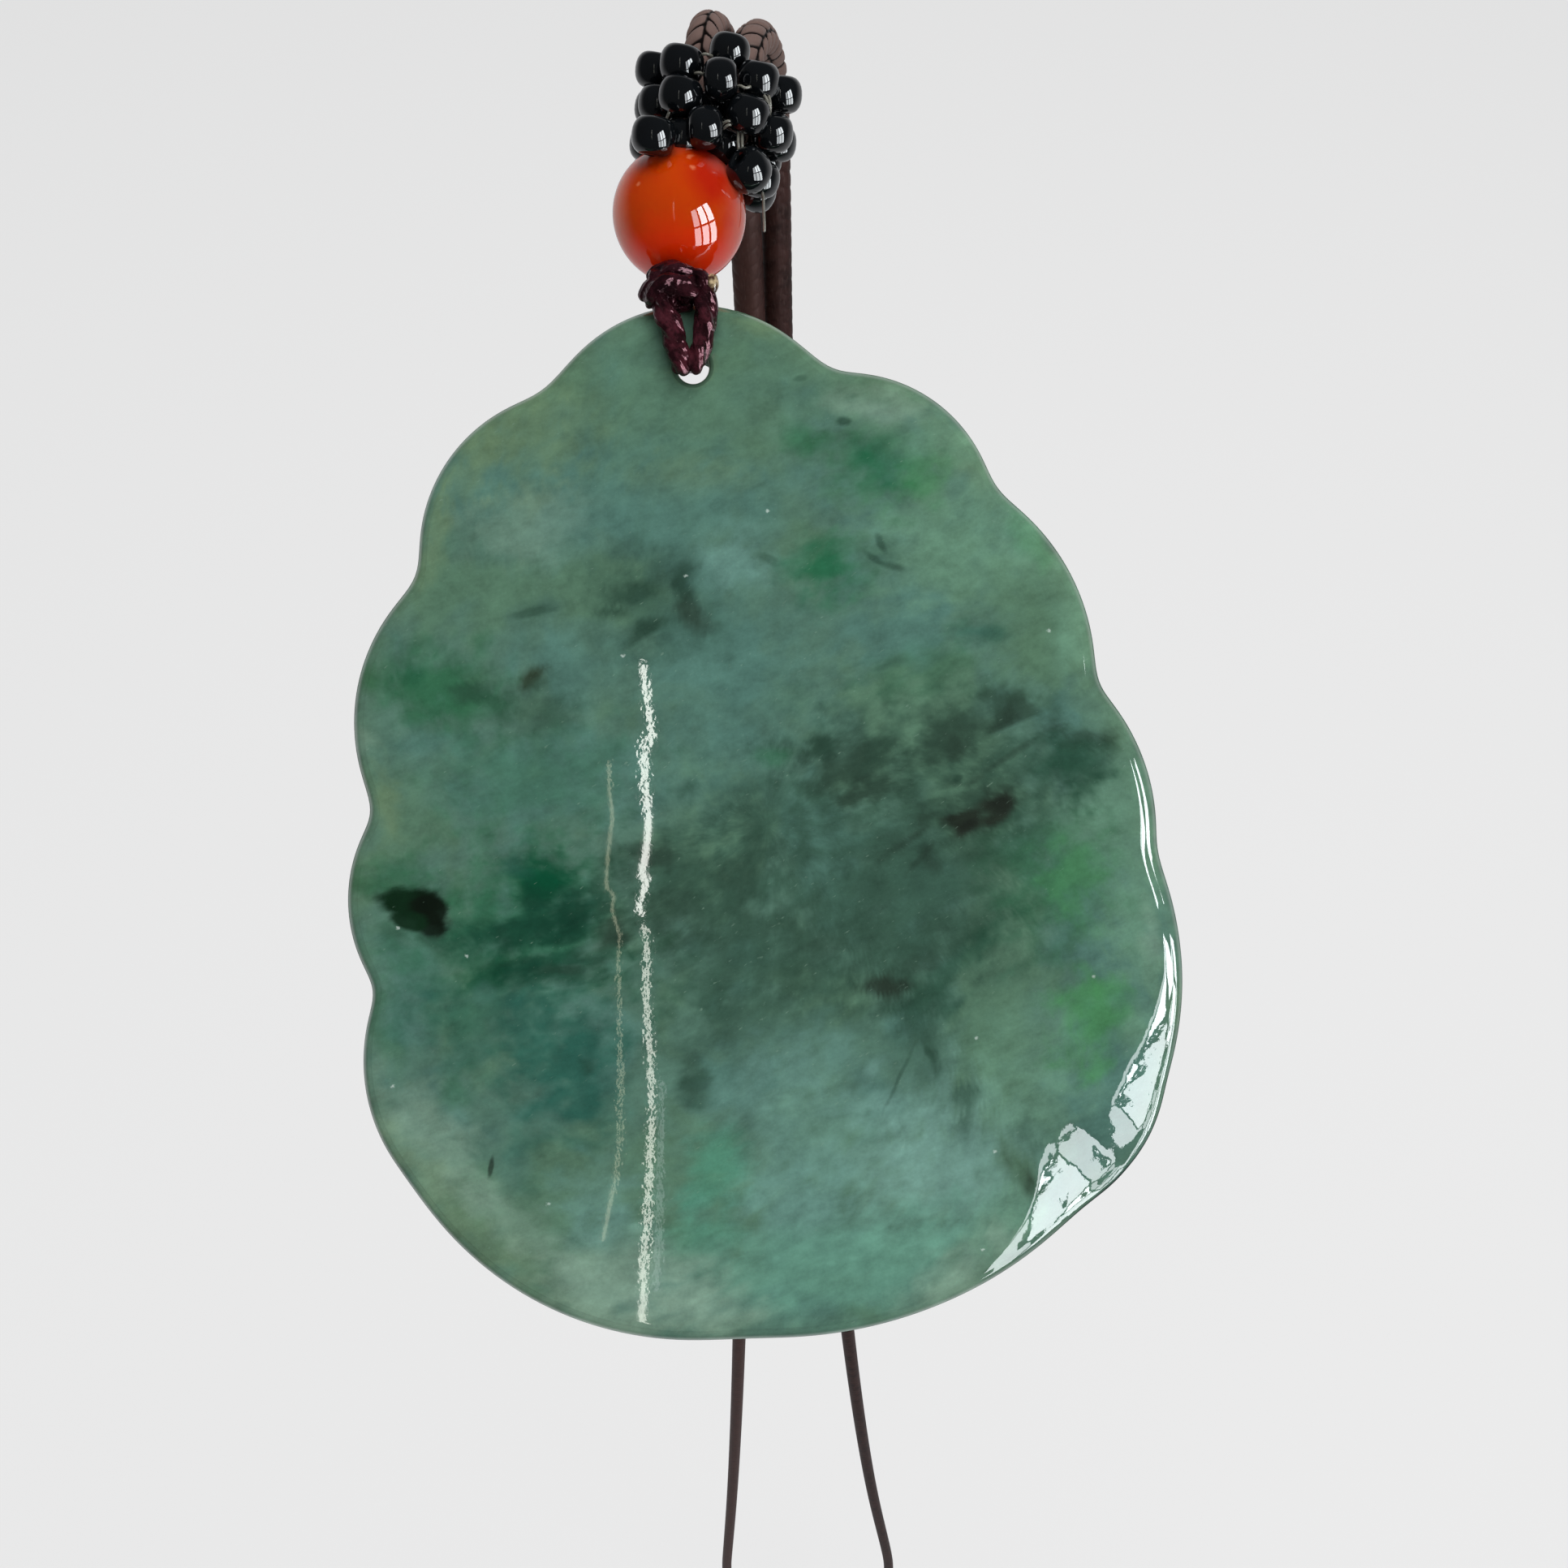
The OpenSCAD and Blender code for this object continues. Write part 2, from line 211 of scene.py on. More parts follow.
jade = {
    "colours": {
        "base": (80, 114, 99), "moss": (84, 118, 94), "straw": (102, 126, 92), "cloud": (78, 116, 106),
        "mist": (103, 144, 133), "pale": (114, 154, 143), "light": (99, 139, 116), "chalk": (124, 153, 135),
        "aqua": (97, 145, 126), "aquaGreen": (68, 134, 108), "slate": (50, 79, 65), "teal": (40, 88, 76),
        "pine": (34, 60, 48), "spruce": (18, 62, 46), "leaf": (44, 97, 67), "green": (34, 96, 66),
        "emerald": (6, 70, 46), "fern": (64, 130, 76), "olive": (58, 84, 56), "ash": (38, 56, 46),
        "bark": (34, 42, 34), "loam": (42, 52, 34), "soot": (24, 28, 24), "ink": (7, 17, 8),
        # edge is the rim's outline, painted shade; the hole wall's pale colour is partly the drilled stone's
        # own, partly painted light
        "inkGreen": (10, 38, 20), "speck": (196, 212, 204), "edge": (34, 47, 44), "powderAndLitWall": (206, 214, 198)},
    # x and z of its middle, half width, half height, turn, colour, strength, softness of its edge
    "patches": [
        # the big soft zones
        (-3.1, 25.7, 14.33, 5.25, 0, "moss", 0.55, 0.9), (-14.1, 23.3, 2.96, 2.96, 0, "straw", 0.45, 0.8),
        (7.2, 24.9, 2.1, 0.86, -8, "chalk", 0.65, 0.8), (11.3, 22.0, 1.91, 1.05, -52, "straw", 0.55, 0.8),
        (-4.8, 20.6, 3.06, 1.15, 0, "straw", 0.3, 0.8), (-14.1, 17.6, 3.63, 1.62, 0, "chalk", 0.35, 0.8),
        (-2.2, 7.0, 4.39, 7.16, 0, "cloud", 0.6, 0.8), (7.1, -3.9, 9.07, 7.64, 15, "slate", 0.7, 0.8),
        (9.8, -3.7, 5.25, 3.82, 10, "slate", 0.6, 0.8), (-1.7, -7.8, 5.25, 4.68, 0, "slate", 0.7, 0.8),
        (-16.0, -7.8, 6.21, 4.54, 0, "leaf", 0.5, 0.9), (2.6, -18.3, 6.21, 4.3, 0, "mist", 0.5, 0.9),
        (10.2, -20.2, 4.01, 4.3, 0, "pale", 0.8, 0.8), (2.6, -25.9, 8.12, 2.96, 0, "aqua", 0.75, 0.9),
        (11.2, 16.8, 4.78, 2.96, 0, "light", 0.9, 0.9), (11.1, 22.6, 1.91, 1.24, -40, "light", 0.8, 0.8),
        (20.2, 0.8, 2.48, 5.73, -6, "light", 0.8, 0.9), (21.7, -5.4, 1.62, 3.53, -8, "light", 0.8, 0.8),
        (18.0, 12.7, 0.96, 2.96, -8, "light", 0.8, 0.8), (15.6, -14.4, 3.06, 2.87, 0, "light", 0.65, 0.9),
        (-14.1, 3.2, 4.58, 2.87, 0, "leaf", 0.4, 0.9), (-16.5, -12.1, 4.3, 2.96, 0, "teal", 0.5, 0.9),
        (-0.3, 0.3, 2.96, 2.48, 0, "slate", 0.5, 0.9), (8.3, -25.2, 4.3, 1.91, 20, "aqua", 0.6, 0.9),
        (-8.9, -27.0, 5.01, 2.2, 8, "chalk", 0.8, 0.8), (-4.6, -28.9, 3.34, 1.24, 0, "chalk", 0.75, 0.8),
        (11.2, -27.0, 2.87, 1.15, 26, "chalk", 0.75, 0.8),
        (-20.3, -18.3, 2.1, 3.63, 35, "chalk", 0.65, 0.8),
        (-18.4, -22.6, 6.21, 1.24, -44, "straw", 0.45, 0.8), (14.3, 12.0, 2.01, 3.53, 12, "moss", 0.7, 0.8),
        (16.9, -3.2, 2.87, 3.53, 0, "leaf", 0.55, 0.9), (9.3, 8.6, 2.87, 1.24, 5, "leaf", 0.3, 0.8),
        # upper left
        (-19.6, 17.4, 0.76, 2.96, -14, "straw", 0.5, 0.7), (-16.5, 21.6, 2.48, 1.15, 42, "straw", 0.5, 0.8),
        (-6.7, 18.0, 4.01, 2.01, 6, "cloud", 0.7, 0.7), (-6.6, 13.5, 3.34, 3.44, 0, "slate", 0.6, 0.6),
        (-2.3, 15.9, 1.62, 1.19, 0, "mist", 0.8, 0.8), (0.2, 14.6, 1.24, 0.67, 0, "mist", 0.4, 0.8),
        (-7.4, 13.9, 1.34, 0.96, 15, "pine", 0.7, 0.5), (-4.5, 14.6, 0.81, 1.91, -6, "pine", 0.75, 0.5),
        (-4.5, 12.7, 0.81, 1.1, 0, "bark", 0.55, 0.6), (-7.1, 11.3, 1.15, 0.62, 10, "pine", 0.75, 0.5),
        (-9.0, 12.4, 0.67, 0.38, 0, "pine", 0.6, 0.5), (-19.5, 8.2, 3.34, 2.2, 0, "leaf", 0.9, 0.7),
        (-17.7, 8.2, 1.19, 0.53, 5, "pine", 0.6, 0.6), (-21.0, 9.1, 0.86, 0.57, 0, "emerald", 0.4, 0.7),
        (-13.5, 8.8, 0.91, 0.43, 3, "loam", 0.85, 0.6), (-13.9, 7.1, 2.39, 1.1, 8, "slate", 0.6, 0.7),
        (-20.1, 5.0, 1.53, 1.05, 0, "cloud", 0.7, 0.8), (-23.5, 4.4, 0.62, 0.76, 0, "chalk", 0.45, 0.8),
        (-22.7, 1.3, 0.76, 1.72, 0, "straw", 0.55, 0.8),
        # top right
        (2.3, 22.8, 1.15, 0.96, 0, "leaf", 0.7, 0.7), (6.3, 21.4, 2.87, 2.2, 10, "leaf", 0.6, 0.8),
        (6.3, 21.5, 1.62, 1.62, -20, "green", 0.55, 0.7), (5.9, 22.0, 0.43, 0.53, 0, "green", 0.7, 0.6),
        (7.1, 20.3, 0.76, 0.53, 10, "green", 0.75, 0.6), (8.9, 20.6, 1.62, 1.05, 10, "fern", 0.35, 0.8),
        (3.7, 15.1, 2.1, 1.53, 5, "green", 0.8, 0.7), (3.8, 15.0, 1.05, 0.86, 0, "green", 0.7, 0.6),
        (15.1, 17.3, 1.43, 0.72, -52, "fern", 0.5, 0.7), (14.8, 17.5, 1.24, 0.96, -52, "mist", 0.3, 0.8),
        (12.3, 11.2, 0.96, 0.72, 8, "teal", 0.6, 0.7), (7.8, 9.0, 0.62, 0.33, 5, "slate", 0.5, 0.6),
        (15.9, 10.4, 1.43, 0.96, 0, "moss", 0.5, 0.8),
        # the dark chain across the middle
        (4.5, 3.5, 3.34, 2.1, -4, "slate", 0.6, 0.8), (4.3, 3.5, 2.58, 1.29, -4, "ash", 0.55, 0.6),
        (2.7, 4.3, 0.72, 0.48, 10, "pine", 0.7, 0.6), (6.0, 4.2, 0.62, 0.57, 0, "pine", 0.3, 0.6),
        (5.9, 2.1, 1.19, 0.72, 0, "ash", 0.7, 0.6), (11.1, 5.6, 4.01, 1.43, 34, "slate", 0.7, 0.8),
        (11.1, 5.7, 3.63, 0.96, 34, "ash", 0.5, 0.7), (11.0, 5.1, 0.86, 0.57, 20, "ash", 0.6, 0.5),
        (13.5, 6.3, 0.76, 0.53, 20, "ash", 0.6, 0.5), (14.4, 6.7, 1.05, 0.53, 10, "ash", 0.55, 0.5),
        (16.9, 5.6, 1.05, 0.48, -10, "ash", 0.5, 0.6), (16.5, 3.2, 3.53, 2.1, 14, "slate", 0.75, 0.8),
        (18.0, 3.7, 1.91, 1.62, 12, "spruce", 0.6, 0.8), (18.9, 5.1, 1.62, 0.57, 14, "ash", 0.6, 0.7),
        (12.4, 0.7, 2.39, 1.62, 25, "ash", 0.5, 0.7), (11.7, 0.1, 1.34, 0.76, 20, "bark", 0.95, 0.4),
        (13.3, 1.1, 0.76, 1.19, -18, "bark", 0.95, 0.4), (11.8, -0.1, 0.62, 0.38, 10, "soot", 0.55, 0.6),
        (13.4, 1.5, 0.38, 0.43, 0, "soot", 0.5, 0.6), (8.3, -1.4, 1.72, 0.33, 50, "ash", 0.6, 0.7),
        (9.4, -2.3, 0.67, 0.62, 0, "ash", 0.6, 0.6), (17.9, -3.0, 1.43, 2.1, 0, "fern", 0.4, 0.8),
        (11.0, -8.0, 3.53, 0.76, 34, "spruce", 0.5, 0.7), (9.3, -10.5, 1.81, 1.05, 10, "spruce", 0.45, 0.8),
        (7.4, -9.0, 3.34, 1.72, 20, "slate", 0.6, 0.8), (6.4, -9.3, 1.53, 0.81, 10, "bark", 0.8, 0.5),
        (9.2, -7.6, 1.43, 0.62, 12, "ash", 0.5, 0.7), (3.5, -6.8, 0.86, 0.67, 0, "ash", 0.35, 0.8),
        (-2.3, -2.6, 0.96, 1.0, 0, "ash", 0.6, 0.7), (-0.1, 3.5, 0.81, 0.67, 0, "leaf", 0.6, 0.8),
        (22.9, -6.8, 0.57, 1.72, 0, "chalk", 0.5, 0.8),
        # lower right
        (19.1, -11.4, 1.62, 2.1, -10, "fern", 0.7, 0.8), (20.5, -10.0, 0.96, 0.76, 0, "fern", 0.35, 0.7),
        (19.7, -14.6, 0.96, 0.62, 20, "fern", 0.5, 0.7), (9.1, -12.9, 0.33, 0.67, 8, "pine", 0.6, 0.6),
        (11.2, -15.5, 0.96, 0.67, 0, "slate", 0.75, 0.5), (11.4, -17.1, 0.43, 1.24, 0, "slate", 0.55, 0.6),
        (14.3, -20.5, 0.96, 1.91, 26, "olive", 0.7, 0.7), (14.5, -21.0, 0.38, 1.15, 26, "bark", 0.6, 0.6),
        (5.4, -28.7, 1.53, 0.57, 0, "olive", 0.4, 0.7), (1.9, -14.6, 2.87, 1.72, 0, "mist", 0.4, 0.9),
        # lower left
        (-13.3, -4.7, 4.01, 3.06, 15, "green", 0.6, 0.8),
        (-13.0, -2.9, 1.91, 1.15, 30, "emerald", 1.0, 0.5),
        (-11.8, -4.7, 2.87, 1.34, 18, "spruce", 0.95, 0.6),
        (-14.0, -6.1, 3.53, 0.86, 12, "spruce", 0.85, 0.6),
        (-16.2, -8.3, 1.91, 1.05, 12, "emerald", 0.7, 0.7),
        (-15.6, -8.7, 0.53, 0.57, 0, "emerald", 0.7, 0.6),
        (-12.2, -8.0, 3.82, 0.57, 4, "spruce", 0.75, 0.7),
        (-13.9, -11.4, 0.96, 2.01, -8, "teal", 0.55, 0.8), (-5.2, -2.7, 3.92, 2.39, 10, "slate", 0.85, 0.7),
        (-5.5, -5.1, 1.81, 1.72, 0, "ash", 0.4, 0.7), (-6.6, -1.5, 0.91, 0.67, 0, "ash", 0.7, 0.6),
        (-8.5, -6.1, 0.96, 1.05, 0, "ash", 0.7, 0.6), (-11.5, -14.9, 2.58, 3.06, 15, "teal", 0.95, 0.8),
        (-10.8, -14.1, 0.53, 0.38, 0, "pine", 0.5, 0.6), (-10.4, -17.1, 0.62, 0.53, 20, "teal", 0.3, 0.7),
        (-18.6, -15.6, 0.91, 0.67, 15, "leaf", 0.5, 0.8), (-13.9, -18.8, 1.05, 0.81, 25, "teal", 0.5, 0.7),
        (-10.1, -21.6, 2.1, 1.62, 0, "mist", 0.55, 0.8), (-14.6, -20.8, 0.72, 1.34, 0, "teal", 0.35, 0.8),
        (-2.2, -10.9, 1.05, 0.86, 0, "pine", 0.35, 0.8), (-4.3, -15.2, 0.67, 1.15, 0, "pine", 0.7, 0.7),
        (-3.0, -19.7, 1.34, 2.1, 0, "aquaGreen", 0.6, 0.8),
        (-3.5, -23.8, 1.91, 1.24, 0, "aquaGreen", 0.4, 0.8), (1.3, -22.3, 2.48, 1.15, 0, "mist", 0.75, 0.8),
        (-22.3, -2.9, 2.1, 1.24, 8, "leaf", 0.7, 0.8), (14.0, -23.9, 1.43, 1.81, -30, "light", 0.8, 0.8),
        (-8.7, -29.4, 2.87, 0.76, -8, "chalk", 0.8, 0.8),
        (-13.8, -24.4, 3.82, 1.24, -44, "chalk", 0.45, 0.8),
        (-17.0, -21.9, 2.1, 0.96, -44, "chalk", 0.4, 0.8), (18.8, 11.1, 0.67, 1.91, -10, "light", 0.8, 0.8),
        (-9.2, -6.4, 1.15, 0.67, 10, "ash", 0.6, 0.6), (10.8, 3.1, 1.24, 0.67, 10, "slate", 0.7, 0.7),
        (-14.3, -8.9, 1.81, 0.67, 4, "spruce", 0.6, 0.7), (-3.5, 15.0, 0.67, 0.76, 0, "cloud", 0.5, 0.7),
        (8.9, -14.1, 0.86, 0.57, 0, "slate", 0.4, 0.7), (-19.4, -6.7, 0.67, 0.48, 0, "pine", 0.5, 0.7),
        (22.9, -8.3, 0.72, 1.24, 0, "light", 0.7, 0.8), (21.4, -12.1, 0.86, 1.53, -10, "light", 0.8, 0.8),
        (-22.4, -12.9, 0.67, 2.1, 6, "leaf", 0.35, 0.7), (13.9, -24.5, 1.15, 0.67, -40, "chalk", 0.6, 0.8),
        (-21.6, -7.9, 0.96, 1.24, 0, "leaf", 0.3, 0.8), (-12.1, -9.0, 2.1, 0.67, 4, "spruce", 0.7, 0.7),
        (-18.3, -6.1, 0.96, 0.76, 0, "spruce", 0.45, 0.8), (-21.8, -6.8, 1.05, 0.57, 0, "slate", 0.5, 0.8),
        (13.1, 4.3, 1.05, 0.67, 30, "slate", 0.7, 0.8), (-10.0, -7.7, 0.96, 0.76, 0, "slate", 0.5, 0.8),
        (6.8, 16.1, 0.96, 0.76, -38, "slate", 0.5, 0.8), (8.9, 22.5, 1.24, 0.86, 0, "light", 0.5, 0.8),
        (11.1, -18.1, 0.96, 0.86, 0, "slate", 0.35, 0.8), (-0.2, 29.5, 1.15, 0.67, 0, "straw", 0.5, 0.8),
        (-18.4, -3.5, 1.05, 0.86, 0, "leaf", 0.5, 0.8), (8.2, -12.5, 1.05, 0.96, 0, "slate", 0.5, 0.8),
        (-4.4, -13.8, 0.67, 0.86, 0, "slate", 0.6, 0.8), (-10.0, -23.7, 1.43, 1.15, 0, "mist", 0.7, 0.8),
        (17.3, 10.6, 0.86, 1.15, 0, "light", 0.7, 0.8), (11.0, 2.9, 1.05, 0.57, 0, "ash", 0.4, 0.8),
        (3.3, -20.9, 1.43, 1.15, 0, "mist", 0.6, 0.8), (15.9, 0.8, 1.24, 0.96, 0, "slate", 0.6, 0.8),
        (-14.6, -2.5, 0.86, 0.67, 0, "teal", 0.5, 0.8), (-2.3, 2.9, 1.15, 0.96, 0, "cloud", 0.4, 0.8),
        (16.6, 7.1, 1.05, 0.76, 0, "slate", 0.5, 0.8), (-17.0, -9.8, 0.96, 0.67, 0, "cloud", 0.4, 0.8),
        (-14.2, -10.4, 0.96, 0.76, 0, "teal", 0.7, 0.8), (-13.5, 12.7, 1.43, 0.67, 0, "slate", 0.4, 0.8),
        (-5.1, -28.7, 1.43, 0.86, 0, "chalk", 0.5, 0.8)],
    # fine ones, drawn by the shader
    "strokes": [
        (-13.8, 12.5, 1.15, 0.29, 14, "pine", 0.55, 0.6), (4.6, 23.9, 0.43, 0.24, 10, "pine", 0.7, 0.5),
        (1.9, 26.4, 0.38, 0.19, 0, "slate", 0.5, 0.6), (0.2, 15.6, 0.67, 0.29, -25, "slate", 0.5, 0.6),
        (6.6, 16.6, 0.19, 0.57, 28, "pine", 0.6, 0.6), (6.3, 15.7, 0.62, 0.19, -38, "pine", 0.55, 0.6),
        (7.3, 15.2, 0.76, 0.24, -12, "pine", 0.55, 0.6), (13.4, 3.5, 1.43, 0.19, 36, "ash", 0.4, 0.8),
        (14.4, 4.1, 1.43, 0.19, 36, "ash", 0.35, 0.8), (11.2, 2.7, 0.29, 0.24, 0, "pine", 0.6, 0.5),
        (9.0, -1.9, 1.15, 0.19, 50, "ash", 0.45, 0.6), (9.5, -13.4, 0.19, 0.53, 35, "pine", 0.5, 0.6),
        (7.7, -14.9, 1.81, 0.12, 63, "pine", 0.4, 0.6), (-11.9, -8.5, 1.53, 0.29, 6, "pine", 0.55, 0.6),
        (-16.2, -20.0, 0.14, 0.53, -14, "soot", 0.7, 0.4), (-20.1, -10.0, 0.43, 0.29, 0, "teal", 0.5, 0.7),
        (-21.1, -4.5, 1.91, 0.96, -8, "inkGreen", 1.0, 0.29),
        (-20.0, -5.1, 1.43, 1.0, -42, "ink", 0.95, 0.28), (-20.0, -5.9, 1.05, 0.72, -30, "ink", 0.9, 0.29),
        (-21.2, -5.6, 1.15, 0.62, -20, "inkGreen", 0.95, 0.29)],
    "specks": [(-22.1, -15.4), (-4.8, 14.7), (0.0, 18.5), (12.3, -12.5), (13.4, -19.2), (-12.9, -22.3),
               (16.6, 11.5), (-17.7, -7.7), (-21.8, -6.0), (12.7, -25.0), (19.2, -8.9), (-8.5, 10.0)],
    "speckSize": (0.12, 9, 0.09),
    # the fibres' slant and size, and how the patches' edges are bent: scale of the noise and reach
    "fibreTurn": 22, "fibreSize": (2.0, 1.4, 0.9), "drift": (0.2, 1.1), "fray": (1.1, 0.55),
    # noise that frays the edges, along the fibres and all round: scale, roughness, octaves, share
    "fringe": 0.85, "fringes": [(0.8, 0.7, 6, 0.6), (0.75, 0.6, 5, 0.7)],
    # the ground's two tones: scale of their noise, where each begins and is full, strength
    "toneScale": 0.12, "toneRange": (0.02, 0.4), "tones": {"cloud": 0.8, "moss": 0.7},
    # a spot that runs through the plate is this deep
    "through": 300,
    # distances in from the rim: the band painted paler, painted light through the stone; the outline painted
    # dark, painted shade at the rounded edge; the ground edge
    "paintedGlowBand": (2.6, 0.3), "outline": (0.32, 0.1), "groundEdge": (0.42, 0.2),
    "roughness": 0.02, "ior": 1.66, "groundRoughness": 0.7, "groundIor": 1.1,
    # polish, in micrometres of height: the uneven worn corner, fine crackle, the face's slow swell
    "wornAt": (19.6, -18.0), "wornReach": 7.4, "wornHeights": (85, 8), "crackle": (0.2, 2.2), "swell": 6.0,
    # where the streaks are crackled, and how the face bends them
    "crackled": [(-7.3, 5.2, 2.2, 4.6), (-6.9, -15.0, 2.4, 12.0)], "streakCrackle": 1.0,
    "bend": -7.1, "bendAt": (9.0, 1.5, -4.6, -6.9), "bendLine": -7.3}


def smoothStep(value, low, high):
    t = np.clip((value - low) / (high - low), 0, 1)
    return t * t * (3 - 2 * t)


def jadeTints(places):
    # the stone's clouds and veins, one colour a point, from the patches
    turn = Matrix.Rotation(math.radians(jade["fibreTurn"]), 3, "Y")
    driftScale, drift = jade["drift"]
    frayScale, fray = jade["fray"]
    bent, fringe, tone = [], [], []
    for x, z in places:
        place = Vector((x, 0, z))
        shifted = place + noise.noise_vector(place * driftScale) * drift
        grained = turn @ shifted
        grained = Vector(g / s for g, s in zip(grained, jade["fibreSize"]))
        shifted = shifted + noise.noise_vector(grained * frayScale) * fray
        bent.append((shifted.x, shifted.z))
        fringe.append(sum(noise.fractal(p * scale, rough, 2.0, octaves) * share
                          for p, (scale, rough, octaves, share) in zip((grained, place), jade["fringes"])))
        tone.append(noise.fractal(shifted * jade["toneScale"], 0.8, 2.0, 4))
    bent, fringe, tone = np.array(bent), np.array(fringe), np.array(tone)
    colours = {name: np.array(colour[:3]) for name, colour in coloursOf(jade).items()}
    tints = np.tile(colours["base"], (len(bent), 1))

    def lay(name, share):
        nonlocal tints
        tints = tints + (colours[name] - tints) * share[:, None]

    for (name, strength), value in zip(jade["tones"].items(), (tone, -tone)):
        lay(name, smoothStep(value, *jade["toneRange"]) * strength)
    for x, z, halfWidth, halfHeight, tilt, name, strength, softness in jade["patches"]:
        c, s = math.cos(math.radians(tilt)), math.sin(math.radians(tilt))
        dx, dz = bent[:, 0] - x, bent[:, 1] - z
        away = np.hypot((dx * c + dz * s) / halfWidth, (dz * c - dx * s) / halfHeight)
        away = away + fringe * softness * jade["fringe"]
        lay(name, smoothStep(-away, -1 - softness, softness - 1) * strength)
    return np.concatenate([tints, np.ones((len(tints), 1))], axis=1)


def jadeFinish():
    f = finishNamed("polishedJade", jade)
    place = f.drawing()
    bent = place + f.swing(place, 0.22, 2, 0.5, "Color") * 1.2
    along = f.stretch(bent, turn=(0, -jade["fibreTurn"], 0), size=jade["fibreSize"])

    def spot(place, at, size, inner, outer, strength, turn=0, fringe=None):
        # a soft spot that runs straight through the plate
        size = (size[0], jade["through"], size[1])
        return f.near(place, (at[0], 0, at[1]), (0, -turn, 0), size, inner, outer, strength, fringe)

    fringe = f.swing(along, 1.2, 4, 0.6)
    colour = f.attribute("tint", "Color")
    for x, z, halfWidth, halfHeight, turn, name, strength, softness in jade["strokes"]:
        share = spot(bent, (x, z), (halfWidth, halfHeight), 1 - softness, 1 + softness, strength, turn,
                     fringe * (-0.8 * softness))
        colour = f.mix(colour, name, share)
    # a thin rim band painted paler as painted light through the stone, its outline painted dark as painted
    # shade at the rounded edge, and the drilled wall of the hole, pale as drilled stone and painted brighter
    # still as painted light
    inset = f.attribute("inset", "Fac")
    colour = f.mix(colour, "straw", f.ramp(inset, *jade["paintedGlowBand"], 0, 0.2))
    colour = f.mix(colour, "edge", f.ramp(inset, *jade["outline"], 0, 0.95))
    colour = f.mix(colour, "powderAndLitWall", spot(place, plate["hole"], (1, 1), 0.97, 1.03, 0.7))
    frayed = place + f.swing(place, 5.0, 2, 0.5, "Color") * 0.3
    for x, z in jade["specks"]:
        speck = f.near(frayed, (x, 0, z), (0, 0, 0), jade["speckSize"], 0.4, 1.6, 0.65)
        colour = f.mix(colour, "speck", speck)
    fleck = f.cloud(f.stretch(place, turn=(0, -35, 0), size=(0.5, 0.4, 0.16)), 1.0, 2)
    colour = f.mix(colour, "chalk", f.ramp(fleck, 0.68, 0.84, 0, 0.5))
    mottle = f.swing(bent, 0.42, 5, 0.6)
    fibre = f.swing(along, 1.5, 6, 0.65)
    grain = f.swing(place, 5.5, 3, 0.6)
    shade = 1 + mottle + fibre * 0.6 + grain * 0.24
    colour = colour * f.add("ShaderNodeCombineXYZ", {}, {0: shade, 1: shade, 2: shade})
    # the polish
    worn = spot(place, jade["wornAt"], (jade["wornReach"],) * 2, 0.8, 1.25, 1.0)
    coarse, fine = jade["wornHeights"]
    height = (f.swing(place, 0.5, 2) * coarse + f.swing(place, 1.7, 3) * fine) * worn
    low, high = jade["crackle"]
    height = height + f.swing(place, 4.8, 2, 0.6) * (low + worn * high)
    height = height + f.swing(place, 0.12, 2) * jade["swell"]
    crackled = 0
    for x, z, *size in jade["crackled"]:
        crackled = crackled + spot(place, (x, z), size, 0.7, 1.3, jade["streakCrackle"])
    height = height + f.swing(place, 3.2, 1) * crackled
    x, _, z = f.split(place)
    top, below, above, foot = jade["bendAt"]
    bent = f.ramp(z, top, below) * f.ramp(z, foot, above)
    height = height + (x - jade["bendLine"]) * bent * jade["bend"]
    rough = jade["roughness"] + f.ramp(f.cloud(place, 2.2, 4, 0.6), 0.55, 0.8) * 0.012
    polished = f.surface(colour, rough, jade["ior"], {"Normal": f.bump(height, 1e-6)})
    # the outermost edge is only ground, not polished
    ground = f.surface(colour, jade["groundRoughness"], jade["groundIor"])
    shader = f.add("ShaderNodeMixShader", {}, {0: f.ramp(inset, *jade["groundEdge"]), 1: polished, 2: ground})
    return f.close(shader)


agate = {
    "at": (-5.3, -3.0, 36.6), "radius": 4.0, "bore": 1.4, "sides": 96, "steps": 60,
    # the bore's lip: how much wider it begins, then width and depth of its points
    "lipWidth": 0.12, "lip": [(0.03, 0.04), (0.0, 0.14)],
    # the bright red and the two pale pinks carry painted light and painted reflection, as told with the zones
    "colours": {"orange": (188, 60, 2), "red": (172, 22, 5), "deepRedLit": (230, 48, 3), "paintedSheen": (188, 86, 76),
                "paintedPaleSheen": (206, 108, 70), "pale": (226, 140, 96)},
    # seen from its middle: x, y, z, the three half sizes, colour, strength. The pale pink zones at the edges
    # are painted sheen, a painted reflection; the bright red at the bottom is the stone's deep red lifted as
    # painted light
    "zones": [
        (0.4, -1.0, -3.6, 4.4, 5.0, 2.2, "deepRedLit", 0.9), (1.9, -2.4, 1.0, 1.5, 2.5, 1.7, "red", 0.85),
        (2.0, -1.0, 3.0, 1.8, 3.0, 0.9, "red", 0.8), (3.9, -1.0, -0.6, 1.1, 3.6, 3.0, "paintedSheen", 0.3),
        (-1.9, -1.6, 3.0, 2.2, 2.6, 1.1, "paintedSheen", 0.6), (-3.6, -1.0, 0.2, 1.0, 3.0, 2.6, "paintedPaleSheen", 0.4),
        (2.7, -1.6, 2.3, 1.0, 2.4, 1.0, "paintedSheen", 0.6)],
    # pale spots just under the front, painted highlights from above: x, z, size
    "paintedGlints": [(0.95, 1.5, 0.12), (0.8, 2.3, 0.14), (-0.75, 2.8, 0.12), (-1.9, 0.6, 0.1)], "glintDepth": 3.2}


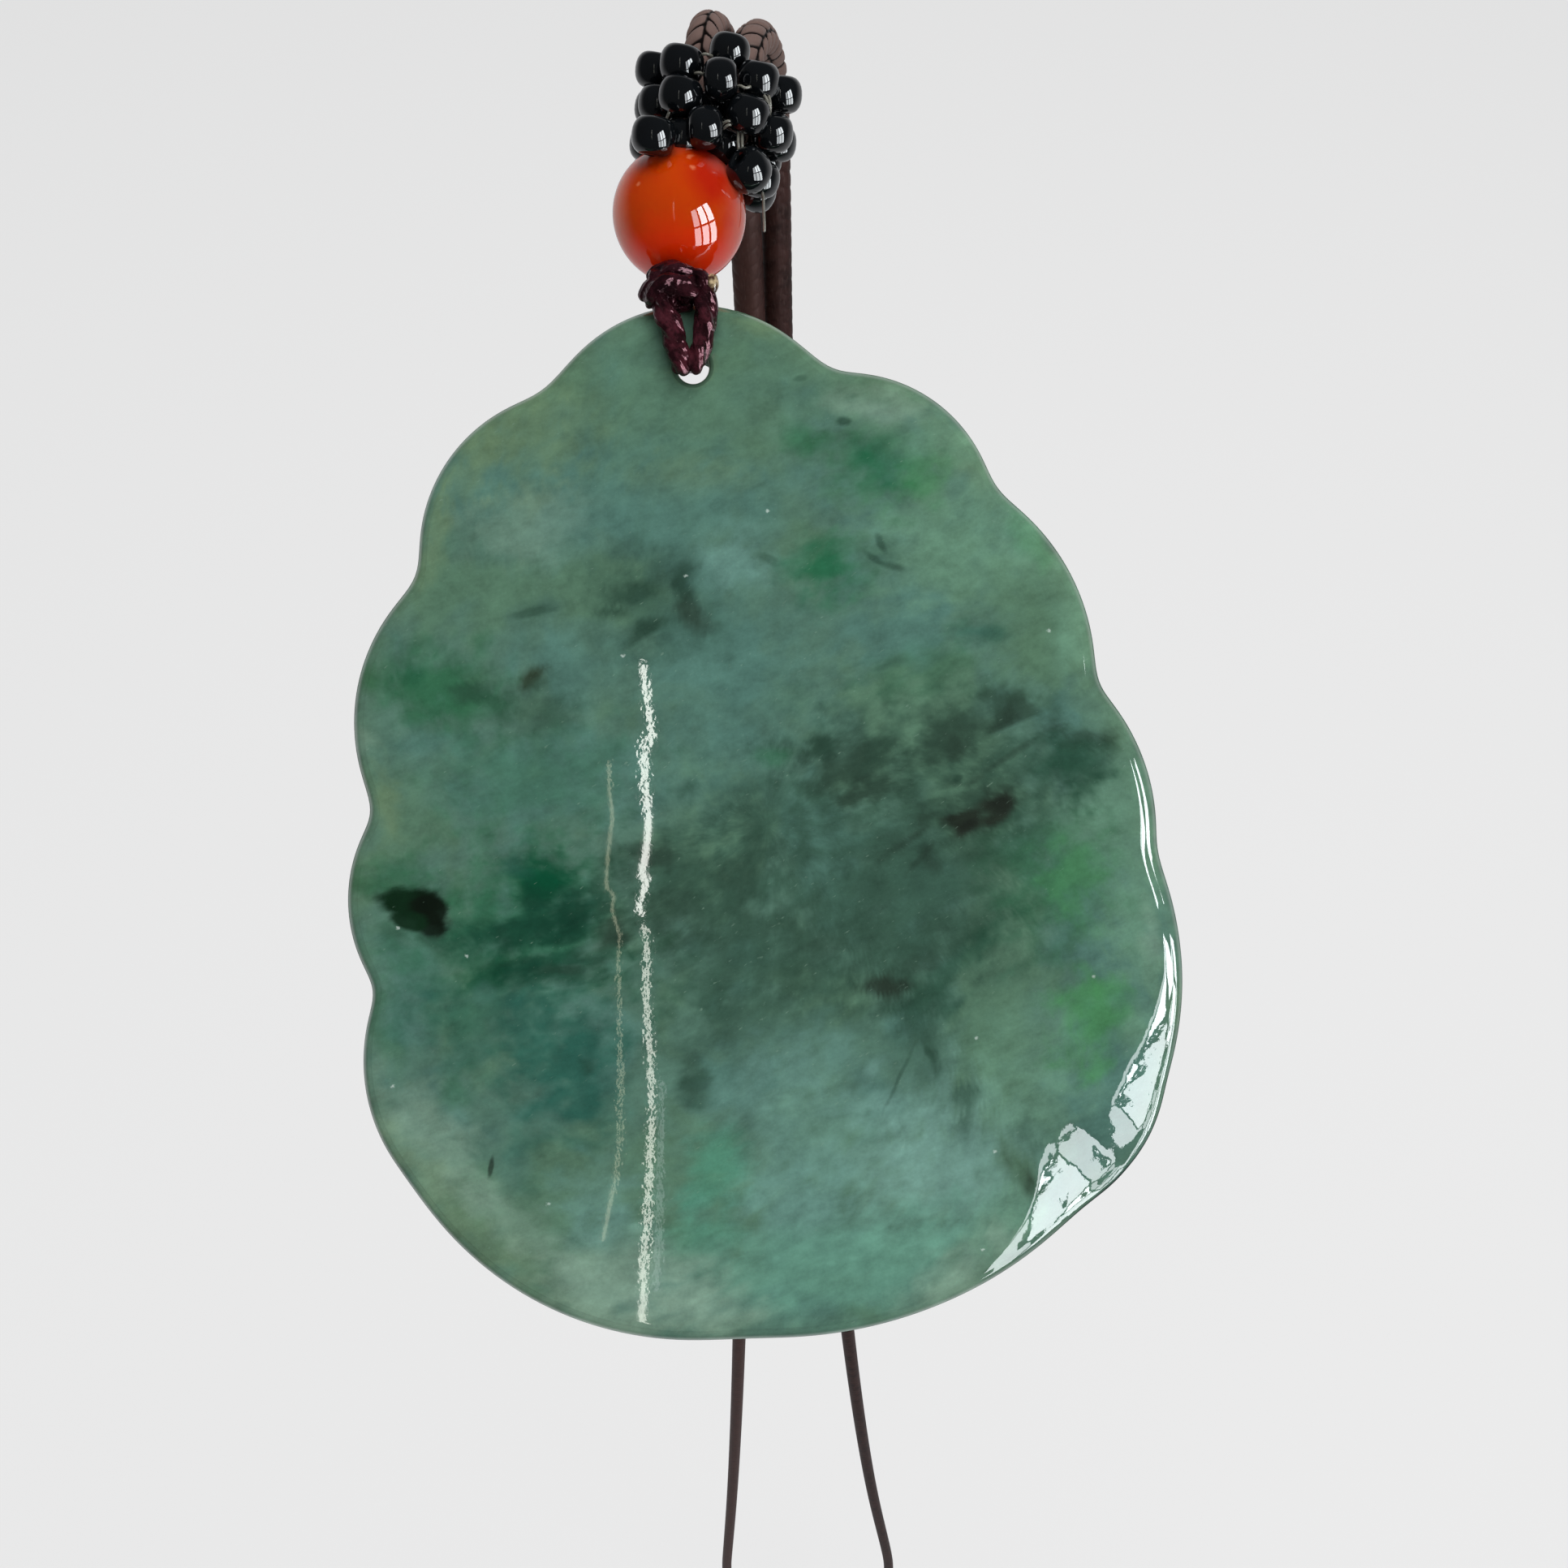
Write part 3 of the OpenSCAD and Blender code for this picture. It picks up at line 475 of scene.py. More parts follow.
def agateFinish():
    f = finishNamed("redAgate", agate)
    place = f.drawing()
    atX, atY, atZ = agate["at"]
    bent = place + f.swing(place, 0.45, 4, 0.55, "Color") * 1.5
    banded = f.ramp(f.cloud(bent, 0.5, 4, 0.6), 0.52, 0.75, 0, 0.4)
    colour = f.mix("orange", "red", banded)
    # some zones are painted sheen at the edges and painted light at the bottom
    for x, y, z, wide, deep, high, name, strength in agate["zones"]:
        zone = f.near(bent, (atX + x, atY + y, atZ + z), (0, 0, 0), (wide, deep, high), 0.45, 1.45, strength)
        colour = f.mix(colour, name, zone)
    # painted highlights
    for x, z, size in agate["paintedGlints"]:
        at = (atX + x, atY - agate["glintDepth"], atZ + z)
        spot = f.near(bent, at, (0, 0, 0), (size, 2, size), 0.4, 2.0, 0.5)
        colour = f.mix(colour, "pale", spot)
    return f.close(f.surface(colour, 0.03, 1.6, {
        "Subsurface Weight": 0.5, "Subsurface Radius": (1.0, 0.28, 0.1), "Subsurface Scale": 0.0012}))


# lines and tubes
def pulledCurve(route, step):
    # the smooth curve that a route's points pull along, as the CAD model draws it
    route = [Vector(p) for p in route]
    ghosts = [2 * route[0] - route[1]] + route + [2 * route[-1] - route[-2]]
    points = []
    for i in range(len(route) - 1):
        near = ghosts[i:i + 4]
        steps = math.ceil((near[2] - near[1]).length / step)
        for k in range(steps):
            t = k / steps
            pulls = ((1 - t) ** 3, 3 * t ** 3 - 6 * t * t + 4, 1 + 3 * t + 3 * t * t - 3 * t ** 3, t ** 3)
            points.append(sum((p * pull for p, pull in zip(near, pulls)), Vector()) / 6)
    return points + [route[-1]]


class Line:
    # a line through close points: its middle and two cross directions at any distance along it
    def __init__(self, points):
        self.points = points
        self.reach = [0.0]
        for a, b in zip(points, points[1:]):
            self.reach.append(self.reach[-1] + (b - a).length)
        self.length = self.reach[-1]
        self.cross = []
        side = Vector((1, 0.2, 0.1))
        for i in range(len(points)):
            way = (points[min(i + 1, len(points) - 1)] - points[max(i - 1, 0)]).normalized()
            side = (side - way * side.dot(way)).normalized()
            self.cross.append((side.copy(), way.cross(side)))

    def at(self, distance):
        i = min(max(bisect.bisect_right(self.reach, distance) - 1, 0), len(self.points) - 2)
        share = (distance - self.reach[i]) / max(self.reach[i + 1] - self.reach[i], 1e-9)
        (sideA, overA), (sideB, overB) = self.cross[i], self.cross[i + 1]
        return (self.points[i].lerp(self.points[i + 1], share), sideA.lerp(sideB, share).normalized(),
                overA.lerp(overB, share).normalized())


def stationsAlong(length, bands, plain):
    # distances along a line: bands are (start, end, step), and the rest goes in plain steps
    stations = [0.0]
    while stations[-1] < length:
        here = stations[-1]
        step = next((s for a, b, s in bands if a <= here < b), plain)
        nearest = min([a for a, b, s in bands if a > here + 1e-6] + [length])
        stations.append(min(here + step, nearest))
    return stations


def tube(line, stations, sides, radius):
    # a grid rolled up round a line: radius(around, along) in millimetres. Its map holds the same two.
    roll = bmesh.new()
    sheetMap = roll.loops.layers.uv.new("weave")
    rows = len(stations) - 1
    bmesh.ops.create_grid(roll, x_segments=sides, y_segments=rows, size=1, calc_uvs=True)
    crosses = [line.at(d) for d in stations]
    for vert in roll.verts:
        around = (vert.co.x + 1) / 2
        row = round((vert.co.y + 1) / 2 * rows)
        middle, side, over = crosses[row]
        turn = 2 * math.pi * around
        vert.co = middle + (side * math.cos(turn) + over * math.sin(turn)) * radius(around % 1, stations[row])
    for face in roll.faces:
        for loop in face.loops:
            corner = loop[sheetMap]
            corner.uv = (corner.uv.x, stations[round(corner.uv.y * rows)])
    bmesh.ops.remove_doubles(roll, verts=roll.verts, dist=0.0004)
    bmesh.ops.recalc_face_normals(roll, faces=roll.faces)
    return roll


def pour(form, bm):
    # adds one finished form to a piece
    mesh = bpy.data.meshes.new("form")
    form.to_mesh(mesh)
    form.free()
    bm.from_mesh(mesh)
    bpy.data.meshes.remove(mesh)


def roundedEnds(along, length, reach):
    # 1 along a tube, and down to 0 in a round tip at both ends
    near = min(along, length - along)
    return 1.0 if near >= reach else math.sqrt(max(0.0, 1 - (1 - near / reach) ** 2))


def makeObject(bm, name, material):
    mesh = bpy.data.meshes.new(name)
    bm.to_mesh(mesh)
    bm.free()
    mesh.materials.append(material)
    made = bpy.data.objects.new(name, mesh)
    bpy.context.scene.collection.objects.link(made)
    return made


def makePiece(bm, name, material, place, stands):
    bmesh.ops.transform(bm, matrix=place, verts=bm.verts)
    piece = makeObject(bm, name, material)
    piece.data.shade_smooth()
    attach(piece, "root")
    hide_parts(*stands)
    print(name + ":", len(piece.data.vertices), "points")
    return piece


# neck cord: both ends in the sleeve, one whole loop hanging down behind the plate
neckCord = {
    "diameter": 2.3, "length": 872.3,
    "columns": 4, "strandStep": 1.2, "slope": 0.7, "relief": 0.22, "shutRelief": 0.04,
    # how flat the strands are along and across, and how far they fall at their edges
    "flatAlong": 4.0, "flatAcross": 6.0, "edgeFall": 0.8,
    "curveStep": 0.8, "wovenTo": 95.0, "wovenStep": 0.11, "plainStep": 1.0, "sides": 40, "tipReach": 0.8,
    # the braid is open up to the first distance from its end and shut from the second, then fades to plain
    "opened": (15, 26), "openedFar": (13, 22), "fade": 8, "pathStep": 2.0,
    # lit and the pale hump colour are painted light, gap is painted shade in the braid's gaps
    "colours": {"brown": (56, 34, 31), "dark": (36, 21, 19), "lit": (84, 58, 53), "humpLight": (116, 97, 91),
                "fibre": (98, 78, 72), "gap": (14, 10, 9)},
    "route": [
        (-4.9, 30.6, 28.6), (-4.3, 32.5, 30.2), (-4.0, 34.9, 31.9), (-3.7, 38.0, 31.9),
        (-3.1, 40.5, 29.8), (-2.5, 41.3, 26.5), (-2.1, 41.2, 22.5), (-1.7, 41.1, 16.0),
        (-1.4, 41.0, 4.0), (-1.8, 41.0, -20.0), (-3.4, 41.0, -80.0), (-5.4, 41.0, -150.0),
        (-7.6, 41.0, -220.0), (-10.4, 41.0, -290.0), (-13.0, 41.0, -340.0), (-14.0, 41.0, -363.0),
        (-6.0, 41.0, -380.0), (7.0, 41.0, -386.0), (20.0, 41.0, -380.0), (28.0, 41.0, -363.0),
        (26.8, 41.0, -340.0), (20.4, 41.0, -290.0), (14.0, 41.0, -220.0), (8.8, 41.2, -150.0),
        (4.4, 41.7, -80.0), (1.4, 42.2, -20.0), (0.5, 42.6, 4.0), (0.4, 42.8, 14.0),
        (0.3, 42.8, 20.0), (0.2, 42.7, 24.4), (0.0, 41.8, 28.1), (-0.6, 39.4, 30.6),
        (-1.2, 36.2, 31.4), (-1.8, 33.3, 30.4), (-2.1, 31.7, 29.1), (-2.5, 30.3, 27.8)]}


def braidHeight(around, along):
    # 0 in the gaps of the herringbone braid, 1 on its broad flat strands
    column = around * neckCord["columns"]
    number = math.floor(column)
    across = column - number - 0.5
    side = 1 if number % 2 else -1
    phase = along / neckCord["strandStep"] + side * across * neckCord["slope"] + 0.5 * (number % 2)
    ridge = 1 - abs(2 * (phase % 1) - 1) ** neckCord["flatAlong"]
    return ridge * (1 - neckCord["edgeFall"] * abs(2 * across) ** neckCord["flatAcross"])


def cordFinish():
    f = finishNamed("waxedBraid", neckCord)
    weave = f.weave()
    around, along, _ = f.split(weave)
    column = around * neckCord["columns"]
    number = f.maths("FLOOR", column + 0.0001)
    odd = f.maths("MODULO", number, 2.0)
    across = column - number - 0.5
    phase = along / neckCord["strandStep"] + (odd * 2 - 1) * across * neckCord["slope"] + odd * 0.5
    gapAlong = f.maths("ABSOLUTE", f.maths("FRACT", phase) * 2 - 1)
    gapAcross = f.maths("ABSOLUTE", across * 2)
    ridge = 1 - gapAlong ** neckCord["flatAlong"]
    ridge = ridge * (1 - (gapAcross ** neckCord["flatAcross"]) * neckCord["edgeFall"])
    # the braid shows where the cord is bent open at the sleeve, and is pulled shut further along
    length = neckCord["length"]
    openTo, shutFrom = neckCord["opened"]
    farOpenTo, farShutFrom = neckCord["openedFar"]
    opened = f.ramp(along, shutFrom, openTo) + f.ramp(along, length - farShutFrom, length - farOpenTo)
    gaps = (1 - ridge) * (0.2 + opened * 0.8)
    place = f.drawing(0)
    worn = f.cloud(place, 0.6, 3, 0.6)
    fibre = f.cloud(f.stretch(weave, size=(0.02, 0.8, 1)), 1.0, 3, 0.6)
    sideways, _, _ = f.split(place)
    # the left side and the opened humps near the sleeve are painted lighter as painted light, and the braid's
    # gaps painted dark as painted shade
    colour = f.mix("brown", "dark", f.ramp(worn, 0.35, 0.7))
    for name, share in (("lit", f.ramp(sideways, -0.4, -1.2, 0, 0.35)), ("humpLight", opened * 0.8),
                        ("fibre", f.ramp(fibre, 0.5, 0.8, 0, 0.3)), ("gap", f.ramp(gaps, 0.28, 0.66))):
        colour = f.mix(colour, name, share)
    bumped = f.bump(fibre * 0.25 - gaps, 0.0001, 0.6)
    return f.close(f.surface(colour, 0.36 + fibre * 0.2, 1.14, {"Normal": bumped}))


def makeNeckCord():
    line = Line(pulledCurve(neckCord["route"], neckCord["curveStep"]))
    length, woven = line.length, neckCord["wovenTo"]
    bands = [(0.0, woven, neckCord["wovenStep"]), (length - woven, length, neckCord["wovenStep"])]
    stations = stationsAlong(length, bands, neckCord["plainStep"])
    # the braid's depth, by the distance from the nearer end
    deep, shallow = neckCord["relief"], neckCord["shutRelief"]
    depths = (0, *neckCord["opened"], woven - neckCord["fade"], woven), (deep, deep, shallow, shallow, 0)

    def radius(around, along):
        gap = float(np.interp(min(along, length - along), *depths)) * (1 - braidHeight(around, along))
        return (neckCord["diameter"] / 2 - gap) * roundedEnds(along, length, neckCord["tipReach"])

    bm = tube(line, stations, neckCord["sides"], radius)
    piece = makePiece(bm, "neckCord", cordFinish(), hangingPlace, ["neck_cord"])
    path = [p * mm for p in pulledCurve(neckCord["route"], neckCord["pathStep"])]


makeNeckCord()


# jade plate
plate = {
    "thick": 5.0, "crown": 0.3, "backRound": 1.5, "frontRound": 0.95,
    # the front corner worn down at lower right: how far in it reaches, by degrees below the horizontal
    "wornReaches": [
        (-180, 0.1), (-40, 0.1), (-20, 0.2), (0, 0.4), (7, 0.55), (17, 0.55), (21, 0.65), (24, 0.95),
        (29, 1.55), (33, 2.2), (36, 2.5), (39, 2.7), (42, 3.6), (44, 4.3), (48, 4.2), (51, 3.3), (54, 2.2),
        (57, 1.4), (60.5, 0.7), (64, 0.35), (75, 0.2), (100, 0.1), (180, 0.1)],
    "wornSlope": 0.36, "wornCurve": 1.25, "wornRings": 14, "wornWaves": 0.04, "wornWaveSize": 2.6,
    "lobeSteps": 36, "softenRounds": 13, "roundSteps": 9, "faceRings": 100, "backRings": 40,
    # faint unevenness of the hand-polished faces: height and size
    "frontSwell": (0.03, 9), "backSwell": (0.02, 8),
    "hole": (-4.4, 27.05), "holeWidth": 1.9, "holeBackWidth": 2.7, "lip": 0.3, "holeSides": 48,
    # how much wider than the lip the faces are opened, and the rim distance that colours the hole's wall
    "opening": 0.5, "wallInset": 0.22,
    # dip x, dip z, bulge of the lobe after it
    "lobes": [
        (23.3, -1.6, 1.2), (19.7, 8.5, 1.75), (13.6, 20.1, 2.35), (3.6, 27.1, 4.75), (-13.2, 25.9, 2.7),
        (-20.8, 14.8, 2.55), (-23.5, 0.8, 1.75), (-23.4, -9.9, 1.65), (-21.6, -21.2, 3.4),
        (-1.5, -30.7, 2.35), (18.9, -23.1, 1.1), (24.0, -15.4, 1.25)]}


def plateOutline():
    points, lobes = [], plate["lobes"]
    for (ax, az, bulge), (bx, bz, _) in zip(lobes, lobes[1:] + lobes[:1]):
        a, b = Vector((ax, az)), Vector((bx, bz))
        chord = (b - a).length
        radius = (chord * chord / 4 + bulge * bulge) / (2 * bulge)
        half = math.asin(chord / 2 / radius)
        along = (b - a) / chord
        out = Vector((along.y, -along.x))
        for k in range(plate["lobeSteps"]):
            turn = half * (2 * k / plate["lobeSteps"] - 1)
            height = radius * math.cos(turn) - radius + bulge
            points.append((a + b) / 2 + along * radius * math.sin(turn) + out * height)
    for _ in range(plate["softenRounds"]):
        count = len(points)
        points = [(points[i - 1] + 2 * points[i] + points[(i + 1) % count]) / 4 for i in range(count)]
    return points


def extruded(bm, ring):
    # a ring of edges grown by one step: its new points and edges
    made = bmesh.ops.extrude_edge_only(bm, edges=ring)["geom"]
    fresh = [g for g in made if isinstance(g, bmesh.types.BMVert)]
    known = set(fresh)
    return fresh, [g for g in made if isinstance(g, bmesh.types.BMEdge) and all(v in known for v in g.verts)]


def drillHole(bm, inset):
    # an opening in both faces, joined by a wall with rounded lips
    x, z = plate["hole"]
    middle = -plate["thick"] / 2
    radius, backRadius, lip = plate["holeWidth"] / 2, plate["holeBackWidth"] / 2, plate["lip"]

    def opens(face):
        here = face.calc_center_median()
        wide = (radius if here.y < middle else backRadius) + lip + plate["opening"]
        return abs(face.normal.y) > 0.5 and math.hypot(here.x - x, here.z - z) < wide

    bmesh.ops.delete(bm, geom=[face for face in bm.faces if opens(face)], context="FACES")
    openEdges = [e for e in bm.edges if e.is_boundary]
    frontEdges = [e for e in openEdges if e.verts[0].co.y < middle]
    backEdges = [e for e in openEdges if e.verts[0].co.y > middle]
    face, back = (sum(e.verts[0].co.y for e in edges) / len(edges) for edges in (frontEdges, backEdges))
    quarter = [(lip * (1 - math.sin(a)), lip * (1 - math.cos(a))) for a in (0, 0.5, 1.0, math.pi / 2)]
    wall = [(radius + w, face + d) for w, d in quarter]
    wall += [(backRadius + w, back - d) for w, d in reversed(quarter)]
    made = bmesh.ops.create_circle(bm, segments=plate["holeSides"], radius=1, matrix=turned(90, "X"))
    lipTurn = {v: Vector((v.co.x, v.co.z)).normalized() for v in made["verts"]}
    ring = frontLip = list({e for v in made["verts"] for e in v.link_edges})
    for k, (wide, y) in enumerate(wall):
        if k:
            fresh, ring = extruded(bm, ring)
            lipTurn = {v: Vector((v.co.x - x, v.co.z - z)).normalized() for v in fresh}
        for vert, out in lipTurn.items():
            vert.co = (x + out.x * wide, y, z + out.y * wide)
            vert[inset] = plate["wallInset"]
    bmesh.ops.bridge_loops(bm, edges=frontEdges + frontLip)
    bmesh.ops.bridge_loops(bm, edges=backEdges + ring)
    bmesh.ops.recalc_face_normals(bm, faces=bm.faces)


def makePlate():
    rim = plateOutline()
    bm = bmesh.new()
    turn = bm.verts.layers.int.new("turn")
    inset = bm.verts.layers.float.new("inset")
    bmesh.ops.create_circle(bm, segments=len(rim), radius=1)
    for number, vert in enumerate(bm.verts):
        vert[turn] = number
    firstRing = list(bm.edges)
    middle = -plate["thick"] / 2
    edge = -plate["thick"] + plate["crown"]

    def worn(p):
        return float(np.interp(math.degrees(math.atan2(-p.y, p.x)), *zip(*plate["wornReaches"])))

    def frontWidth(p):
        return plate["frontRound"] + worn(p)

    def putAt(vert, pulledIn, share, height):
        p = rim[vert[turn]]
        q = p * (1 - pulledIn(p) / p.length) * share
        vert.co = (q.x, height(p), q.y)
        vert[inset] = (p - q).length

    def nextRing(ring, pulledIn, share, height):
        fresh, ring = extruded(bm, ring)
        for vert in fresh:
            putAt(vert, pulledIn, share, height)
        return ring

    for vert in bm.verts:
        putAt(vert, lambda p: 0, 1, lambda p: middle)
    steps = plate["roundSteps"]
    ring = firstRing
    for k in range(1, steps + 1):
        a = math.pi / 2 * k / steps
        ring = nextRing(ring, lambda p: plate["frontRound"] * (1 - math.cos(a)), 1,
                        lambda p: middle + (edge + worn(p) * plate["wornSlope"] - middle) * math.sin(a))
    for k in range(1, plate["wornRings"] + 1):
        t = k / plate["wornRings"]
        ring = nextRing(ring, lambda p: plate["frontRound"] + worn(p) * t, 1,
                        lambda p: edge + worn(p) * plate["wornSlope"] * (1 - t) ** plate["wornCurve"])
        for vert in {v for e in ring for v in e.verts}:
            reach = min(1.0, worn(rim[vert[turn]]) / 3)
            place = Vector((vert.co.x, 3, vert.co.z)) / plate["wornWaveSize"]
            vert.co.y += plate["wornWaves"] * reach * noise.noise(place)
    rings = plate["faceRings"]
    for k in range(1, rings):
        share = 1 - k / rings
        ring = nextRing(ring, frontWidth, share, lambda p: edge - plate["crown"] * (1 - share * share))
    bmesh.ops.pointmerge(bm, verts=list({v for e in ring for v in e.verts}), merge_co=(0, -plate["thick"], 0))
    ring = firstRing
    for k in range(1, steps + 1):
        a = math.pi / 2 * k / steps
        ring = nextRing(ring, lambda p: plate["backRound"] * (1 - math.cos(a)), 1,
                        lambda p: middle * (1 - math.sin(a)))
    for k in range(1, plate["backRings"]):
        ring = nextRing(ring, lambda p: plate["backRound"], 1 - k / plate["backRings"], lambda p: 0)
    bmesh.ops.pointmerge(bm, verts=list({v for e in ring for v in e.verts}), merge_co=(0, 0, 0))

    (frontDepth, frontSize), (backDepth, backSize) = plate["frontSwell"], plate["backSwell"]
    for vert in bm.verts:
        p = vert.co
        if p.y < middle - 1:
            p.y += frontDepth * noise.noise(Vector((p.x, 0, p.z)) / frontSize)
        elif p.y > -1:
            p.y -= backDepth * abs(noise.noise(Vector((p.x, 7, p.z)) / backSize))
    drillHole(bm, inset)
    tints = jadeTints([(v.co.x, v.co.z) for v in bm.verts])
    piece = makePiece(bm, "jadePlate", jadeFinish(), uprightPlace, ["jade_plate"])
    piece.data.color_attributes.new("tint", "FLOAT_COLOR", "POINT").data.foreach_set("color", tints.ravel())


makePlate()


# agate bead
def spun(bm, profile, steps):
    # a profile of (radius, height) turned once round Z
    verts = [bm.verts.new((r, 0, h)) for r, h in profile]
    edges = [bm.edges.new(pair) for pair in zip(verts, verts[1:])]
    bmesh.ops.spin(bm, geom=verts + edges, cent=(0, 0, 0), axis=(0, 0, 1), dvec=(0, 0, 0),
                   angle=2 * math.pi, steps=steps, use_merge=True)
    bmesh.ops.remove_doubles(bm, verts=bm.verts, dist=0.0005)
    bmesh.ops.recalc_face_normals(bm, faces=bm.faces)


def makeAgate():
    bm = bmesh.new()
    radius, bore, steps = agate["radius"], agate["bore"] / 2, agate["steps"]
    start = math.asin((bore + agate["lipWidth"]) / radius)
    turns = [start + (math.pi - 2 * start) * k / steps for k in range(steps + 1)]
    profile = [(radius * math.sin(a), radius * math.cos(a)) for a in turns]
    end = radius * math.cos(start)
    lip = [(bore + wide, -end + deep) for wide, deep in agate["lip"]]
    profile = profile + lip + [(r, -h) for r, h in reversed(lip)] + profile[:1]
    spun(bm, profile, agate["sides"])
    makePiece(bm, "agateBead", agateFinish(), uprightPlace @ Matrix.Translation(agate["at"]), ["agate_bead"])


makeAgate()


# woven sleeve of seed beads
sleeve = {
    "middle": (-3.3, -2.0, 43.1), "tip": 11, "ring": 3.75, "columns": 12, "rows": 4, "rowStep": 2.0,
    "width": 2.5, "length": 2.05, "hole": 0.8, "sides": 26,
    # half section: its steps, roundness outwards and upwards, the hole's flare and straight part
    "steps": 14, "round": (0.88, 0.9), "flare": 1.15, "straight": 0.78,
    "colours": {"glass": (8, 10, 12), "sheen": (14, 17, 20)},
    # seen beads: x, z, depth y, size, then the heading of the hole: turn in the picture and turn away
    "seen": [
        (-6.75, 45.46, -2.6, 1.0, 80, 10), (-5.03, 44.74, -5.0, 1.06, 80, 15),
        (-2.25, 45.86, -4.2, 0.98, 78, 20), (-2.71, 43.41, -6.1, 0.95, 2, 5),
        (-0.55, 44.0, -4.6, 1.02, 80, -20), (0.83, 43.93, -2.8, 1.0, 85, 60),
        (-5.05, 42.61, -5.6, 1.06, 75, 20), (-6.47, 42.98, -3.7, 1.0, 80, 40),
        (-6.85, 43.43, -2.0, 1.0, 80, 10), (-3.62, 40.57, -6.1, 0.98, 0, 10),
        (-1.13, 41.7, -5.3, 1.04, 75, -15), (0.26, 41.19, -3.9, 1.02, 80, -60),
        (0.49, 41.41, -1.9, 1.0, 80, -60), (-6.73, 40.82, -4.3, 1.04, 80, 30),
        (-7.12, 41.14, -2.3, 1.0, 80, 20), (-1.09, 38.87, -4.1, 1.06, 38, -140),
        (-0.52, 39.12, -2.2, 1.0, 75, -40), (-2.56, 40.6, -3.4, 0.9, 70, 10),
        (-3.19, 42.83, -3.4, 0.9, 75, 10), (-5.04, 41.18, -3.4, 0.9, 75, 10)],
    # how many of these are in front, in plain sight, and how far all lean up
    "frontCount": 17, "upTurn": 22,
    # hidden beads: from so many degrees round, in staggered columns, slanted by turns, each with a sway
    "hiddenFrom": 105, "stagger": 0.45, "slant": 35, "sway": (12, 10), "sizes": (0.95, 1.04),
    "clearance": 1.75,
    # none in the upper left of the first x and z, or in the lower right of the second
    "bareUpperLeft": (-4.5, 44.8), "bareLowerRight": (0, 39),
    # how far apart they settle, for beads of size 1
    "settleRounds": 30, "apart": 1.86, "agateApart": 1.02}


def beadProfile(size):
    # half section of a fat rounded seed bead, from its hole's top round to its hole's foot
    half, high, bore = sleeve["width"] * size / 2, sleeve["length"] * size / 2, sleeve["hole"] / 2
    flared, (outRound, upRound) = bore * sleeve["flare"], sleeve["round"]
    points = []
    for k in range(sleeve["steps"] + 1):
        a = math.pi / 2 - math.pi * k / sleeve["steps"]
        out = max(0.0, math.cos(a)) ** outRound
        up = math.copysign(abs(math.sin(a)) ** upRound, math.sin(a))
        points.append((flared + (half - flared) * out, high * up))
    inner = [(bore, -high * sleeve["straight"]), (bore, high * sleeve["straight"])]
    return points + inner + points[:1]


def beadFinish():
    f = finishNamed("blackGlass", sleeve)
    tint = f.cloud(f.drawing(), 0.8, 2)
    return f.close(f.surface(f.mix("glass", "sheen", tint), 0.035, 1.62))


def seenBeads():
    # each bead: its place, size and heading
    beads = []
    for x, z, y, size, turn, away in sleeve["seen"]:
        heading = turned(away, "Z") @ turned(90 - turn, "Y")
        beads.append([Vector((x, y, z)), size, turned(sleeve["upTurn"], "X") @ heading])
    return beads


def addHiddenBeads(beads):
    rng = random.Random(7)
    middle, tipped = Vector(sleeve["middle"]), turned(sleeve["tip"], "Y")
    (leftX, leftZ), (rightX, rightZ) = sleeve["bareUpperLeft"], sleeve["bareLowerRight"]
    turnSway, slantSway = sleeve["sway"]
    for column in range(sleeve["columns"]):
        around = 360 / sleeve["columns"] * column
        if abs((around + 180) % 360 - 180) < sleeve["hiddenFrom"]:
            continue
        for row in range(sleeve["rows"]):
            stagger = sleeve["stagger"] if column % 2 else -sleeve["stagger"]
            up = (row - (sleeve["rows"] - 1) / 2) * sleeve["rowStep"] + stagger
            at = middle + tipped @ (turned(around, "Z") @ Vector((0, -sleeve["ring"], up)))
            bare = (at.z > leftZ and at.x < leftX) or (at.z < rightZ and at.x > rightX)
            if bare or any((at - other).length < sleeve["clearance"] for other, _, _ in beads):
                continue
            slant = sleeve["slant"] if (column + row) % 2 else -sleeve["slant"]
            heading = tipped @ turned(around + rng.uniform(-turnSway, turnSway), "Z")
            heading = heading @ turned(slant + rng.uniform(-slantSway, slantSway), "Y")
            beads.append([at, rng.uniform(*sleeve["sizes"]), heading])


def settle(beads):
    # the seen beads keep their places and give way only in depth, the others move freely
    seenCount = len(sleeve["seen"])
    agateAt, eye = Vector(agate["at"]), Vector(view["at"])

    def deepen(bead, depth):
        # a seen bead moves along the line of sight
        away = bead[0] - eye
        bead[0] = eye + away * ((away.y + depth) / away.y)

    def part(i, a, j, b):
        off = b[0] - a[0]
        need = sleeve["apart"] * (a[1] + b[1]) / 2
        if off.length >= need:
            return
        push = off.normalized() * (need - off.length)
        if j >= seenCount:
            if i < seenCount:
                b[0] += push
            else:
                a[0] -= push / 2
                b[0] += push / 2
            return
        # one in front of the other
        apart = math.sqrt(max(0.0, need ** 2 - off.x ** 2 - off.z ** 2))
        if j >= sleeve["frontCount"]:
            deepen(b, apart - off.y)
        else:
            lack = math.copysign(apart, off.y) - off.y
            deepen(a, -lack / 2)
            deepen(b, lack / 2)

    for _ in range(sleeve["settleRounds"]):
        for number, bead in enumerate(beads):
            off = bead[0] - agateAt
            need = agate["radius"] + sleeve["agateApart"] * bead[1]
            if off.length < need:
                push = off.normalized() * (need - off.length)
                if number < seenCount:
                    deepen(bead, push.y)
                else:
                    bead[0] += push
        for i, a in enumerate(beads):
            for j in range(i + 1, len(beads)):
                part(i, a, j, beads[j])


